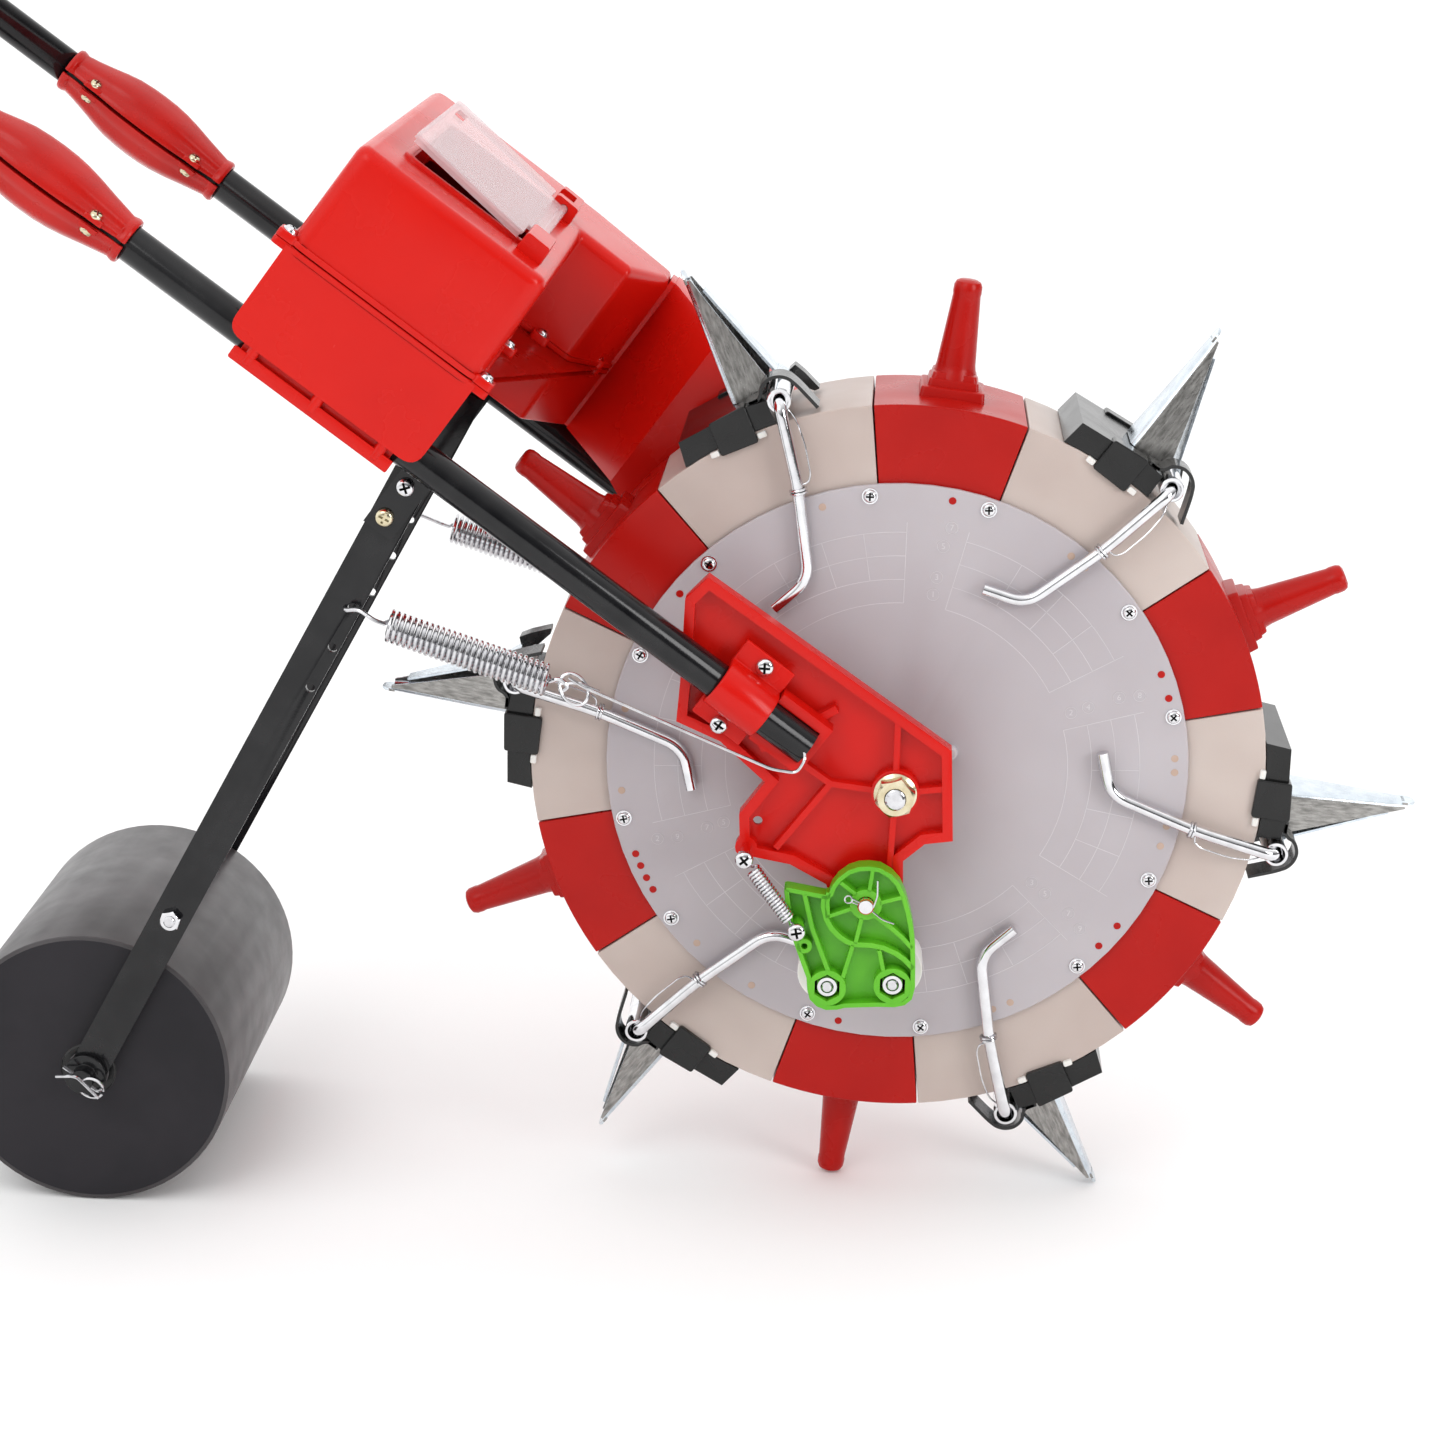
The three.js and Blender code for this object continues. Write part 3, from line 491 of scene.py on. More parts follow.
def hex_nut(af, h, bore):
    r = af / math.sqrt(3)
    hexa = prism([(r * math.cos(math.radians(60 * k)), r * math.sin(math.radians(60 * k))) for k in range(6)], 0, h)
    hexa.transform(Matrix.Rotation(math.radians(90), 4, "X"))  # outline in XY, thickness along Z
    lo = min(v.co.z for v in hexa.vertices)
    hexa.transform(Matrix.Translation((0, 0, -lo)))
    cone = lathe([(0, -0.1), (r * 1.02, -0.1), (r * 1.02, h - r * 0.18), (r * 0.84, h + 0.01), (0, h + 0.01)], n=36)
    me = boolean(hexa, "INTERSECT", cone)
    return boolean(me, "DIFFERENCE", lathe([(0, -1), (bore, -1), (bore, h + 1), (0, h + 1)], n=24))


def bolt_end(r, h):
    """thread end with a chamfer and thread grooves"""
    prof = [(0, h), (r * 0.8, h), (r, h - r * 0.2)]
    z = h - r * 0.2
    while z > 0.6:
        prof += [(r * 0.90, z - 0.35), (r, z - 0.7)]
        z -= 0.7
    prof += [(r, 0), (0, 0)]
    return lathe(prof, n=24)


def helix(a, b, r, wire, turns, lead_a=None, lead_b=None, per=18, n=8):
    """coil from a to b with straight or hooked ends given as extra points"""
    a, b = Vector(a), Vector(b)
    t = (b - a).normalized()
    up = Vector((0, 1, 0))
    up = (up - t * up.dot(t)).normalized()
    side = t.cross(up)
    pts = []
    total = int(turns * per)
    for i in range(total + 1):
        f = 2 * math.pi * i / per
        pts.append(a + (b - a) * (i / total) + up * r * math.cos(f) + side * r * math.sin(f))
    pts = [Vector(q) for q in (lead_a or [])] + pts + [Vector(q) for q in (lead_b or [])]
    return sweep(pts, wire, n)


def circle3(c, r, u, w, a0=0, a1=360, n=24):
    c, u, w = Vector(c), Vector(u).normalized(), Vector(w).normalized()
    return [c + u * r * math.cos(math.radians(a0 + (a1 - a0) * i / n)) + w * r * math.sin(math.radians(a0 + (a1 - a0) * i / n)) for i in range(n + 1)]


# ---------------------------------------------------------------- wheel
def red_segment():
    h, n = 11.85, 20
    outer = arc(0, 0, 185, 90 + h, 90 - h, n)
    inner = arc(0, 0, 128, 90 - h, 90 + h, 8)
    seg = prism(outer + inner, -38.5, 38.5)
    h1 = h - 0.95
    pocket = prism(arc(0, 0, 182, 90 + h1, 90 - h1, n) + arc(0, 0, 118, 90 - h1, 90 + h1, 4), -35.5, 35.5)
    seg = boolean(seg, "DIFFERENCE", pocket)
    return seg


def slab(x, y, z0, z1, r, chamfer=0.9, draft=0.0):
    """rounded rectangular boss with a chamfered top"""
    base = [(-x, -y), (x, -y), (x, y), (-x, y)]
    low = round_poly(base, r, 5)
    mid = round_poly([(a * (1 - draft / x), b * (1 - draft / y)) for a, b in base], r, 5)
    top = [(a * (x - draft - chamfer) / (x - draft), b * (y - draft - chamfer) / (y - draft)) for a, b in mid]
    top2 = [(a * (x - draft - chamfer * 0.3) / (x - draft), b * (y - draft - chamfer * 0.3) / (y - draft)) for a, b in mid]
    return loft([[(a, b, z0) for a, b in low], [(a, b, z1 - chamfer) for a, b in mid], [(a, b, z1 - chamfer * 0.3) for a, b in top2], [(a, b, z1) for a, b in top]])


RED_SEG = red_segment()
PEG = merge(
    "peg",
    slab(16.5, 16, 182.6, 189.6, 2.2, 0.9, 0.6),
    slab(12.9, 12.2, 189, 193.4, 2.0, 0.8, 0.5),
    slab(11.6, 10.8, 193, 196.4, 2.4, 0.9, 0.6),
    lathe([(0, 190), (12.0, 190), (11.2, 195.4), (10.3, 197.2), (9.75, 200), (8.4, 216), (7.2, 231), (6.9, 234.5), (7.15, 236.2), (7.0, 239.5), (6.1, 241.4), (4.3, 242.3), (0, 242.5)], n=36),
)


def base_block():
    prof = [(-39.6, 181.3), (-38.3, 193.9), (-1.5, 198.1), (9.2, 197.3), (10.0, 185.2)] + arc(0, 0, 185.35, 90 - 3.1, 90 + 12.3, 8)
    blk = prism(prof, -38.5, 38.5)
    return boolean(blk, "DIFFERENCE", block(-7.4, 5.4, -10, 10, 170, 196))


def strap_profile():
    mid = [(1.0, 198.9), (5.6, 199.0), (8.2, 201.0), (9.6, 203.7), (12.4, 205.7), (16.2, 206.6), (20.4, 205.6), (23.6, 203.2), (25.4, 200.4), (27.6, 195.6), (31.8, 184.6)]
    pts = [Vector((a, b)) for a, b in mid]
    fine = []
    for i in range(len(pts) - 1):  # Catmull-Rom through the bends
        p0, p1, p2, p3 = pts[max(i - 1, 0)], pts[i], pts[i + 1], pts[min(i + 2, len(pts) - 1)]
        for j in range(4):
            t = j / 4
            fine.append(0.5 * ((2 * p1) + (p2 - p0) * t + (2 * p0 - 5 * p1 + 4 * p2 - p3) * t * t + (3 * p1 - p0 - 3 * p2 + p3) * t ** 3))
    fine.append(pts[-1])
    out, inn = [], []
    for i, q in enumerate(fine):
        t = (fine[min(i + 1, len(fine) - 1)] - fine[max(i - 1, 0)]).normalized()
        nrm = Vector((-t.y, t.x))
        out.append(tuple(q + nrm * 0.85))
        inn.append(tuple(q - nrm * 0.85))
    return out + inn[::-1]


STRAP = strap_profile()
BASE = base_block()
TAB = round_poly([(-21, 179.9), (-1, 179.9), (-1, 199.6), (-21, 197.4)], 1.6, 4)
TABS = merge("tabs", prism(TAB, -41.2, -30), prism(TAB, 30, 41.2))
HOOD = round_poly([(20.6, 199.4), (24.4, 200.8), (27.4, 195.4), (31.6, 184.8), (28.6, 184.8), (21.8, 190.6)], 0.6, 3)
STRAPS = merge("straps", prism(STRAP, -38, -21.5), prism(HOOD, 10, 20), prism([(0, 198.0), (6.2, 198.0), (6.0, 199.9), (0, 199.8)], -38, -21.5))


def shell_mesh():
    # cross-sections of a bent sheet: near wall, back, far wall, then the inner faces back again
    def ring(z, xb, xf, yb, yf, t=1.4):
        r = min(3.4, yb * 0.42)
        fold = [(xb + r - r * math.sin(math.radians(a)), -yb + r - r * math.cos(math.radians(a))) for a in (0, 18, 36, 54, 72, 90)]
        back = [(x, -y) for x, y in fold[::-1]]
        k = r - t
        fin = [(xb + r - k * math.sin(math.radians(a)), -yb + r - k * math.cos(math.radians(a))) for a in (0, 18, 36, 54, 72, 90)]
        bin_ = [(x, -y) for x, y in fin[::-1]]
        o = [(xf, -yf)] + fold + back + [(xf, yf)]
        i = [(xf, yf - t)] + bin_[::-1] + fin[::-1] + [(xf, -yf + t)]
        return [(a, b, z) for a, b in o + i]
    rows = [(197.5, -9.5, 8.0, 16.6, 17.0), (204, -9.5, 12.0, 16.3, 16.6), (215, -9.5, 8.6, 14.6, 14.8), (230, -9.5, 3.9, 12.2, 12.4), (245, -9.5, -0.9, 9.8, 9.9), (256, -9.5, -4.3, 8.0, 8.1), (262, -9.5, -6.1, 6.7, 6.8)]
    sec = [ring(*r) for r in rows]
    body = loft(sec)
    tip = prism([(-9.5, -6.7), (-8.1, -6.7), (-8.1, 6.7), (-9.5, 6.7)], 0, 1)
    tip = loft([
        [(-9.5, -6.7, 260), (-8.1, -6.7, 260), (-8.1, 6.7, 260), (-9.5, 6.7, 260)],
        [(-9.5, -6.4, 263), (-8.1, -6.4, 263), (-8.1, 6.4, 263), (-9.5, 6.4, 263)],
        [(-9.5, -5.2, 265.4), (-8.1, -5.2, 265.4), (-8.1, 5.2, 265.4), (-9.5, 5.2, 265.4)],
        [(-9.5, -3.2, 266.7), (-8.2, -3.2, 266.7), (-8.2, 3.2, 266.7), (-9.5, 3.2, 266.7)],
        [(-9.4, -1.2, 267.2), (-8.4, -1.2, 267.2), (-8.4, 1.2, 267.2), (-9.4, 1.2, 267.2)],
    ])
    return merge("shell", body, tip)


SHELL = shell_mesh()
for p in SHELL.polygons:  # side walls take the darker brushed zinc: real scratches, and a darker tone that is painted dark reflection
    if abs(p.normal.y) > 0.9:
        p.material_index = 1

leaf_rows = []
for k in range(9):
    f = k / 8
    x, z = 16.4 + (-2.4 - 16.4) * f, 204 + (254.2 - 204) * f
    w = 12.0 + (4.9 - 12.0) * f
    leaf_rows.append([(x - 0.65, -w, z - 0.25), (x - 0.65, w, z - 0.25), (x + 0.65, w, z + 0.25), (x + 0.65, -w, z + 0.25)])
LEAF = loft(leaf_rows)
LEAF = merge("leaf", LEAF, loft([[(15.7, -12, 203.9), (15.7, 12, 203.9), (17.2, 12, 204.4), (17.2, -12, 204.4)], [(16.8, -12, 200.6), (16.8, 12, 200.6), (19.4, 12, 201.6), (19.4, -12, 201.6)], [(19.0, -12, 197.8), (19.0, 12, 197.8), (21.6, 12, 198.2), (21.6, -12, 198.2)]]))
KNUCKLE = lathe([(4.55, -43.8), (5.7, -43.8), (6.0, -43.4), (6.0, 27.6), (5.7, 28), (4.55, 28)], axis="Y", at=(16, 0, 195.6), n=36)
ROD = sweep(fillet([(16, -30, 195.6), (16, -46.5, 195.6), (8.8, -46.5, 153.2), (-3.8, -46.5, 107.9), (-25, -46.5, 100.4)], 9, 8), 3.15, 18)
SPRING_T = helix((16, 12.5, 195.6), (16, 21, 195.6), 7.0, 0.75, 5, None, None, 18, 6)
WIRE = sweep(fillet([(17.6, -40, 191.5), (20.6, -44.2, 184), (20.2, -46.0, 172), (17.2, -46.5, 157), (14.8, -46.5, 153.6), (11.0, -46.5, 153.4)], 4, 5), 0.45, 8)
WRING = sweep(circle3((8.6, -46.5, 152.0), 3.9, (0.986, 0, -0.167), (0, 1, 0), 0, 360, 28), 0.7, 8)
WRING2 = sweep(circle3((8.3, -46.5, 150.4), 3.9, (0.986, 0, -0.167), (0, 1, 0), 0, 360, 28), 0.7, 8)
for me, mat in ((RED_SEG, ["segred"]), (PEG, ["segred"]), (BASE, ["black"]), (TABS, ["black"]), (STRAPS, ["grey"]), (SHELL, ["galv", "brush_and_painted_reflection"]), (LEAF, ["galv"]), (KNUCKLE, ["chrome"]), (ROD, ["chrome"]), (SPRING_T, ["steel"]), (WIRE, ["steel"]), (WRING, ["steel"])):
    for x in mat:
        me.materials.append(M[x])
WIRE_ALL = merge("wire", WIRE, WRING, WRING2)
WIRE_ALL.materials.append(M["steel"])
LUG = merge("lug", slab(2.4, 1.6, 0, 2.2, 0.8, 0.5), slab(2.4, 1.6, 0, 2.2, 0.8, 0.5))


def place(name, me, body, at, bevel=0.0, **kw):
    return piece(name, me, [None] * len(me.materials), body, at, bevel, **kw)


for k in range(6):
    n = str(k + 1)
    rs = station(PHASE - 60 * k)
    place("rim_red_shell_" + n, RED_SEG, "wheel", rs, 0.7, stands_for=("rim_red_" + n,))
    place("rim_red_peg_" + n, PEG, "wheel", rs)
    dress("rim_cream_" + n, "cream", 0.7)
    bs = station(PHASE - 30 - 60 * k)
    place("beak_block_" + n, BASE, "wheel", bs, 0.7, stands_for=("beak_base_" + n,))
    place("beak_tabs_" + n, TABS, "wheel", bs, 0.7)
    place("beak_straps_" + n, STRAPS, "wheel", bs, 0.3, segments=2)
    place("beak_fixed_" + n, SHELL, "wheel", bs, 0.25, segments=2, stands_for=("beak_shell_" + n,))
    body = "beak_" + n
    place("beak_leaf_" + n, LEAF, body, bs, 0.2, segments=2, stands_for=("beak_flap_" + n,))
    place("beak_hinge_tube_" + n, KNUCKLE, body, bs)
    place("trip_rod_" + n, ROD, body, bs)
    place("trip_wire_" + n, WIRE_ALL, body, bs)
    place("torsion_spring_" + n, SPRING_T, body, bs)
    for j, (x, z) in enumerate(((-23.6, 182.6), (1.6, 183.2))):
        lug = slab(2.3, 1.5, 0, 2.4, 0.9, 0.5)
        piece("rim_lug_%s_%d" % (n, j), lug, "nylon", "wheel", bs @ Matrix.Translation(Vector((x, -38.2, z - 0.6)) * MM) @ Matrix.Rotation(math.radians(90), 4, "X"))

dress("near_disc", "milk", 0.8)
dress("far_disc", "milk", 0.8)
dress("wheel_hub", "cream", 0.4)

# disc screws on both faces
for k in range(6):
    for j, d in enumerate((-12.03, 12.03)):
        a = math.radians(PHASE - 60 * k + 1.65 + d)
        x, z = 140.7 * math.cos(a), 140.7 * math.sin(a)
        fix("disc_screw_%d_%d" % (k + 1, j), SCREW, "chrome", "wheel", MACHINE, (x, -41.8, z), (0, -1, 0), a * 3.7)
        fix("disc_screw_far_%d_%d" % (k + 1, j), SCREW, "chrome", "wheel", MACHINE, (x, 41.8, z), (0, 1, 0), a * 2.9)

# scribed arcs, radii and numbered circles moulded on the near disc
Y0 = -41.8


def ribbon_arc(r, a0, a1, w=0.35):
    n = max(4, int(abs(a1 - a0) / 2.5))
    o, i = arc(0, 0, r + w / 2, a0, a1, n), arc(0, 0, r - w / 2, a0, a1, n)
    return prism(o + i[::-1], Y0 - 0.07, Y0 + 0.05)


def ribbon_line(p, q, w=0.35):
    d = Vector((q[0] - p[0], q[1] - p[1])).normalized() * (w / 2)
    return prism([(p[0] - d.y, p[1] + d.x), (q[0] - d.y, q[1] + d.x), (q[0] + d.y, q[1] - d.x), (p[0] + d.y, p[1] - d.x)], Y0 - 0.07, Y0 + 0.05)


marks = []
for k in range(6):
    c = PHASE - 30 - 60 * k
    for r in (86, 98, 110, 122):
        marks.append(ribbon_arc(r, c - 24, c + 22))
    for d in (-24, -14, -4, 8, 22):
        a = math.radians(c + d)
        r0, r1 = (86, 127) if d in (-24, 22) else (98, 122)
        marks.append(ribbon_line((r0 * math.cos(a), r0 * math.sin(a)), (r1 * math.cos(a), r1 * math.sin(a))))
    for r, d in ((92, 27), (101, 27), (117, 27), (127, 26)):
        a = math.radians(c + d)
        marks.append(sweep([(r * math.cos(a) + 3.0 * math.cos(math.radians(f)), Y0 - 0.02, r * math.sin(a) + 3.0 * math.sin(math.radians(f))) for f in range(0, 361, 20)], 0.16, 5))
piece("disc_scribing", merge("marks", *marks), "line", "wheel")
for k in range(6):
    c = PHASE - 30 - 60 * k
    for i, (r, d) in enumerate(((92, 27), (101, 27), (117, 27), (127, 26))):
        a = math.radians(c + d)
        cu = bpy.data.curves.new("digit", "FONT")
        cu.body = str((i * 2 + k) % 9 + 1)
        cu.size = 4.2 * MM
        cu.align_x, cu.align_y = "CENTER", "CENTER"
        cu.extrude = 0.06 * MM
        o = link(bpy.data.objects.new("digit", cu))
        dg = bpy.context.evaluated_depsgraph_get()
        me = bpy.data.meshes.new_from_object(o.evaluated_get(dg))
        bpy.data.objects.remove(o)
        me.transform(Matrix.Rotation(math.radians(90), 4, "X"))
        piece("disc_number_%d_%d" % (k + 1, i), me, "line", "wheel", MACHINE @ Matrix.Translation(Vector((r * math.cos(a), Y0 - 0.02, r * math.sin(a))) * MM))

# locating holes that show the segment behind
reds = {0: [-2.9], 1: [-1.0, -6.3], 2: [1.7, -4.1], 3: [-3.7], 4: [-2.2, 0.6, 3.5, 6.4], 5: [-1.7]}
dots_r = [PHASE - 60 * k + d for k, ds in reds.items() for d in ds]
dots_c = [107.1, 54.0, 50.3, 4.3, 1.3, 169.3, 187.2, 225.0, 239.9, 293.0, 297.0, 345.0, 349.5]


def dot(a, r=140.4):
    x, z = r * math.cos(math.radians(a)), r * math.sin(math.radians(a))
    return lathe([(0, 0.12), (1.85, 0.12), (2.0, -0.2), (0, -0.2)], axis="-Y", at=(x, Y0, z), n=18)


piece("locating_dots_red", merge("dr", *[dot(a) for a in dots_r]), "segred", "wheel")
piece("locating_dots_cream", merge("dc", *[dot(a, 139.4) for a in dots_c]), "tan", "wheel")
piece("disc_nub", lathe([(0, 3.2), (2.6, 3.2), (3.6, 2.4), (4.0, 0), (0, 0)], axis="-Y", at=(26.8, Y0, 9.5), n=24), "milk", "wheel")

# ---------------------------------------------------------------- frame
dress("near_bracket", "red", 0.7)
dress("far_bracket", "red", 0.7)
for n in ("near_saddle", "far_saddle"):
    dress(n, "red", 0.8)
for n in ("tube_near", "tube_far"):
    dress(n, "paint", 0.5)
dress("hopper_base", "red", 1.1)
dress("push_bar", "paint", 0.0, smooth=40)
dress("handle_grip", "foam", 1.8)
dress("arm_near", "paint", 0.5)
dress("arm_far", "paint", 0.5)
dress("roller_axle", "paint", 0.4)
dress("roller", "drum", 1.6)
dress("cam_roller_a", "nylon", 0.6)
dress("cam_roller_b", "nylon", 0.6)
dress("seed_chute", "red", 2.0, 4)

# axle bolt, flange nuts
NUT_M10 = hex_nut(17.6, 7.5, 5.5)
FLANGE = lathe([(4.9, 0), (10.6, 0), (10.6, 0.7), (8.6, 2.0), (4.9, 2.2)], n=40)
THREAD = bolt_end(4.95, 12.2)
SHAFT = lathe([(0, -83.2), (5, -83.2), (5, 107.2), (0, 107.2)], axis="Y", n=32)
piece("axle_shaft", SHAFT, "steel", "frame", stands_for=("axle",))
for tag, y, ax in (("near", -83.3, (0, -1, 0)), ("far", 107.3, (0, 1, 0))):
    fix("axle_nut_" + tag, NUT_M10 if tag == "near" else NUT_M10.copy(), "brass", "frame", MACHINE, (0, y + ax[1] * 1.4, 0), ax, 0.25)
    fix("axle_flange_" + tag, FLANGE if tag == "near" else FLANGE.copy(), "brass", "frame", MACHINE, (0, y, 0), ax)
    fix("axle_thread_" + tag, THREAD if tag == "near" else THREAD.copy(), "steel", "frame", MACHINE, (0, y, 0), ax)

for tag, Y, ax in (("near", lambda y: y, (0, -1, 0)), ("far", far, (0, 1, 0))):
    for j, t in enumerate((12.7, -24.2)):
        fix("saddle_screw_%s_%d" % (tag, j), SCREW_BIG, "chrome", "frame", RAILS, (-90.2, Y(-86.4), t), ax, 0.6 + j)
    # painted shade: dark disc standing in for the shadowed hollow of the tube at the lower end
    piece("tube_end_bore_" + tag, lathe([(0, 0.4), (7.3, 0.4), (7.3, 0), (0, 0)], axis="X", at=(-53.5, Y(-93), TT), n=28), "bore", "frame", RAILS)
    piece("tube_end_plug_" + tag, lathe([(0, 0), (7.38, 0), (7.38, 3.4), (6.6, 4.0), (0, 4.0)], axis="X", at=(-56, Y(-93), TT), n=32), "black", "frame", RAILS)


# couplers: two ribbed halves with flared ends
def coupler_half(sign):
    S = [-551, -549.5, -547.6, -546, -540, -532, -524, -517, -509, -501.5, -494, -487, -479, -470, -462, -457, -455.4, -453.5, -452]
    Wd = [11.6, 12.3, 12.0, 11.2, 12.4, 14.6, 16.8, 18.3, 18.9, 19.0, 18.9, 18.3, 16.8, 14.6, 12.6, 11.4, 12.0, 12.3, 11.6]
    D = [11.4, 12.1, 11.8, 11.0, 12.0, 13.8, 15.8, 17.2, 17.9, 18.1, 17.9, 17.2, 15.8, 13.8, 12.2, 11.2, 11.8, 12.1, 11.4]
    rings = []
    for s, w, d in zip(S, Wd, D):
        flare = s < -547 or s > -456
        o = []
        for i in range(25):
            a = math.pi * i / 24
            c, k = math.cos(a), math.sin(a)
            r = 1.0
            if not flare:  # two ribs along each half, with hollows between them
                deg = math.degrees(a)
                for centre in (28, 152):
                    g = abs(deg - centre)
                    r -= 0.0 if g > 20 else 0.10 * (1 + math.cos(math.pi * g / 20)) / 2
                g = abs(deg - 90)
                r += 0.05 * (1 + math.cos(math.pi * min(g, 16) / 16)) / 2
            o.append((w * c * r, 0.9 + (d - 0.9) * k * r))
        inner = [(9.35 * math.cos(math.pi * i / 24), 0.9 + 8.6 * math.sin(math.pi * i / 24)) for i in range(24, -1, -1)]
        rings.append([(s, y, sign * t) for y, t in o + inner])
    return loft(rings)


for tag, cy, out in (("near", -93.0, -1), ("far", 117.0, 1)):
    base = RAILS @ Matrix.Translation(Vector((0, cy, TT)) * MM)
    for j, sg in enumerate((1, -1)):
        piece("coupler_%s_%d" % (tag, j), coupler_half(sg), "coupred", "frame", base, 0.4, segments=2, stands_for=("%s_coupler" % tag,) if j == 0 else ())
        for i, s in enumerate((-533, -470)):
            # raised pads and the screws that pull the halves together
            pad = slab(5.2, 3.6, 0, 2.6, 1.4, 0.7)
            piece("coupler_pad_%s_%d_%d" % (tag, j, i), pad, "coupred", "frame", base @ Matrix.Translation(Vector((s, -12.4, sg * 1.2)) * MM) @ (Matrix.Identity(4) if sg > 0 else Matrix.Rotation(math.pi, 4, "X")))
            fix("coupler_screw_%s_%d_%d" % (tag, j, i), SCREW_BRASS, "brass", "frame", base, (s, -12.6, sg * 3.8), (0, -0.35, sg * 0.94), 0.4 * i)
    # painted shade: dark filler in the open slit between the coupler halves, not a real piece
    piece("coupler_gap_painted_shade_" + tag, prism([(-549, -0.7), (-454, -0.7), (-454, 0.7), (-549, 0.7)], -11.0, 11.0), "bore", "frame", base)

# ---------------------------------------------------------------- hopper
PLAN = [(-391.5, -109), (-283.5, -109), (-283.5, 52), (-252, 52), (-231, 99), (-231, 122), (-283.5, 133), (-391.5, 133)]
RAD = [9, 9, 1.5, 5, 1.5, 1.5, 2, 9]


def grown(plan, rad, d):
    """the rounded outline moved inwards by d; outwards if d is below 0"""
    flat = offset(plan, d) if d else plan
    return round_poly(flat, [r + d if k == 3 - 1 else max(r - d, 0.5) for k, r in enumerate(rad)], 5)


def shell_rings(levels, plan=PLAN, rad=RAD):
    return [[(x, y, t) for x, y in grown(plan, rad, d)] for t, d in levels]


EXIT = block(-236, -228, 101.8, 119.4, 7.5, 100)
up = loft(shell_rings([(44.7, 0.0), (60, 0.15), (80, 0.35), (97, 0.55), (99.3, 0.95), (101.2, 2.0), (102.5, 3.6), (103.0, 5.6)]))
up_in = loft(shell_rings([(40, 2.6), (96, 3.1), (100.4, 5.2)]))
mouth = loft([[(x, y, z) for x, y in round_poly([(-371, -71), (-304, -71), (-304, 60), (-371, 60)], 7, 5)] for z in (85, 115)])
rim = loft([[(x, y, z) for x, y in offset(round_poly([(-374.5, -74.5), (-300.5, -74.5), (-300.5, 63.5), (-374.5, 63.5)], 9, 5), d)] for z, d in ((101.5, 0), (104.2, 0.3), (104.8, 0.8), (105, 1.5))])
up = boolean(up, "UNION", rim)
up = boolean(up, "DIFFERENCE", up_in, mouth, EXIT)
low = loft(shell_rings([(5, 1.2), (5.7, 0.3), (7, 0.0), (44.3, 0.0)]))
low_in = loft(shell_rings([(7.6, 3.4), (9, 2.6), (60, 2.5)]))
low = boolean(low, "DIFFERENCE", low_in, EXIT)
lip_in = boolean(loft([[(x, y, z) for x, y in round_poly([(-371.4, -71.4), (-303.6, -71.4), (-303.6, 60.4), (-371.4, 60.4)], 7, 5)] for z in (84, 104.6)]), "DIFFERENCE",
                 loft([[(x, y, z) for x, y in offset(round_poly([(-371.4, -71.4), (-303.6, -71.4), (-303.6, 60.4), (-371.4, 60.4)], 7, 5), d)] for z, d in ((80, 3.4), (106, 1.6))]))
piece("mouth_lip", lip_in, "red", "frame", RAILS, 0.3, segments=2)
piece("hopper_top_shell", up, "red", "frame", RAILS, 0.35, segments=2, stands_for=("hopper_upper",))
piece("hopper_bottom_shell", low, "red", "frame", RAILS, 0.35, segments=2, stands_for=("hopper_lower",))


# collar that joins the neck to the seed chute
COLLAR = round_poly([(99.4, 5.6), (121.6, 5.6), (121.6, 102.6), (99.4, 102.6)], 1.2, 3)
COLLAR_IN = round_poly([(102.0, 8.2), (119.2, 8.2), (119.2, 100.0), (102.0, 100.0)], 1.0, 3)
col = loft([[(s_, y, t) for y, t in COLLAR] for s_ in (-232.0, -227.6)])
col = boolean(col, "DIFFERENCE", loft([[(s_, y, t) for y, t in COLLAR_IN] for s_ in (-234, -226)]))
piece("chute_collar", col, "red", "frame", RAILS, 0.3, segments=2)


# side skirts and base-plate bosses of the lower half
def skirt(y0, y1):
    return prism(round_poly([(-391.6, 43.6), (-391.6, -6.4), (-282.9, -6.4), (-282.9, 43.6)], [0.2, 9, 9, 0.2], 6), y0, y1)


piece("hopper_skirt_near", skirt(-109.6, -106.4), "red", "frame", RAILS, 1.5, segments=4)
piece("hopper_skirt_far", skirt(130.4, 133.4), "red", "frame", RAILS, 1.4, segments=4)
tray = [block(-381, -295, -105.2, -103.6, -15.2, -4.5)] + [lathe([(0, -14.8), (3.0, -14.8), (3.0, -5), (0, -5)], at=(x, -106.6, 0), n=20) for x in (-375, -338, -301)]
piece("tray_wall", merge("tw", *tray), "red", "frame", RAILS, 0.3, segments=2)
piece("hopper_bosses", merge("bo", *[lathe([(0, -14.2), (4.6, -14.2), (5.2, 6.5), (0, 6.5)], at=(x, y, 0), n=24) for x in (-376, -298) for y in (-56, 80)]), "red", "frame", RAILS)


# seam flange with its groove, on the three outer walls and the front wall
def flange(t0, t1, grow):
    o = grown(PLAN, RAD, -grow)
    e = grown(PLAN, RAD, -grow + 0.5)
    i = grown(PLAN, RAD, 1.2)
    n = len(o)
    rings = [[(x, y, t0) for x, y in e], [(x, y, t0 + 0.5) for x, y in o], [(x, y, t1 - 0.5) for x, y in o], [(x, y, t1) for x, y in e], [(x, y, t1) for x, y in i], [(x, y, t0) for x, y in i]]
    v = [q for r in rings for q in r]
    f = []
    for a in range(6):
        b = (a + 1) % 6
        for k in range(n):
            j = (k + 1) % n
            f.append([a * n + k, a * n + j, b * n + j, b * n + k])
    return new_mesh("fl", v, f)


piece("seam_flange_low", flange(41.2, 44.3, 1.5), "red", "frame", RAILS)
piece("seam_flange_up", flange(44.6, 47.8, 1.5), "red", "frame", RAILS)

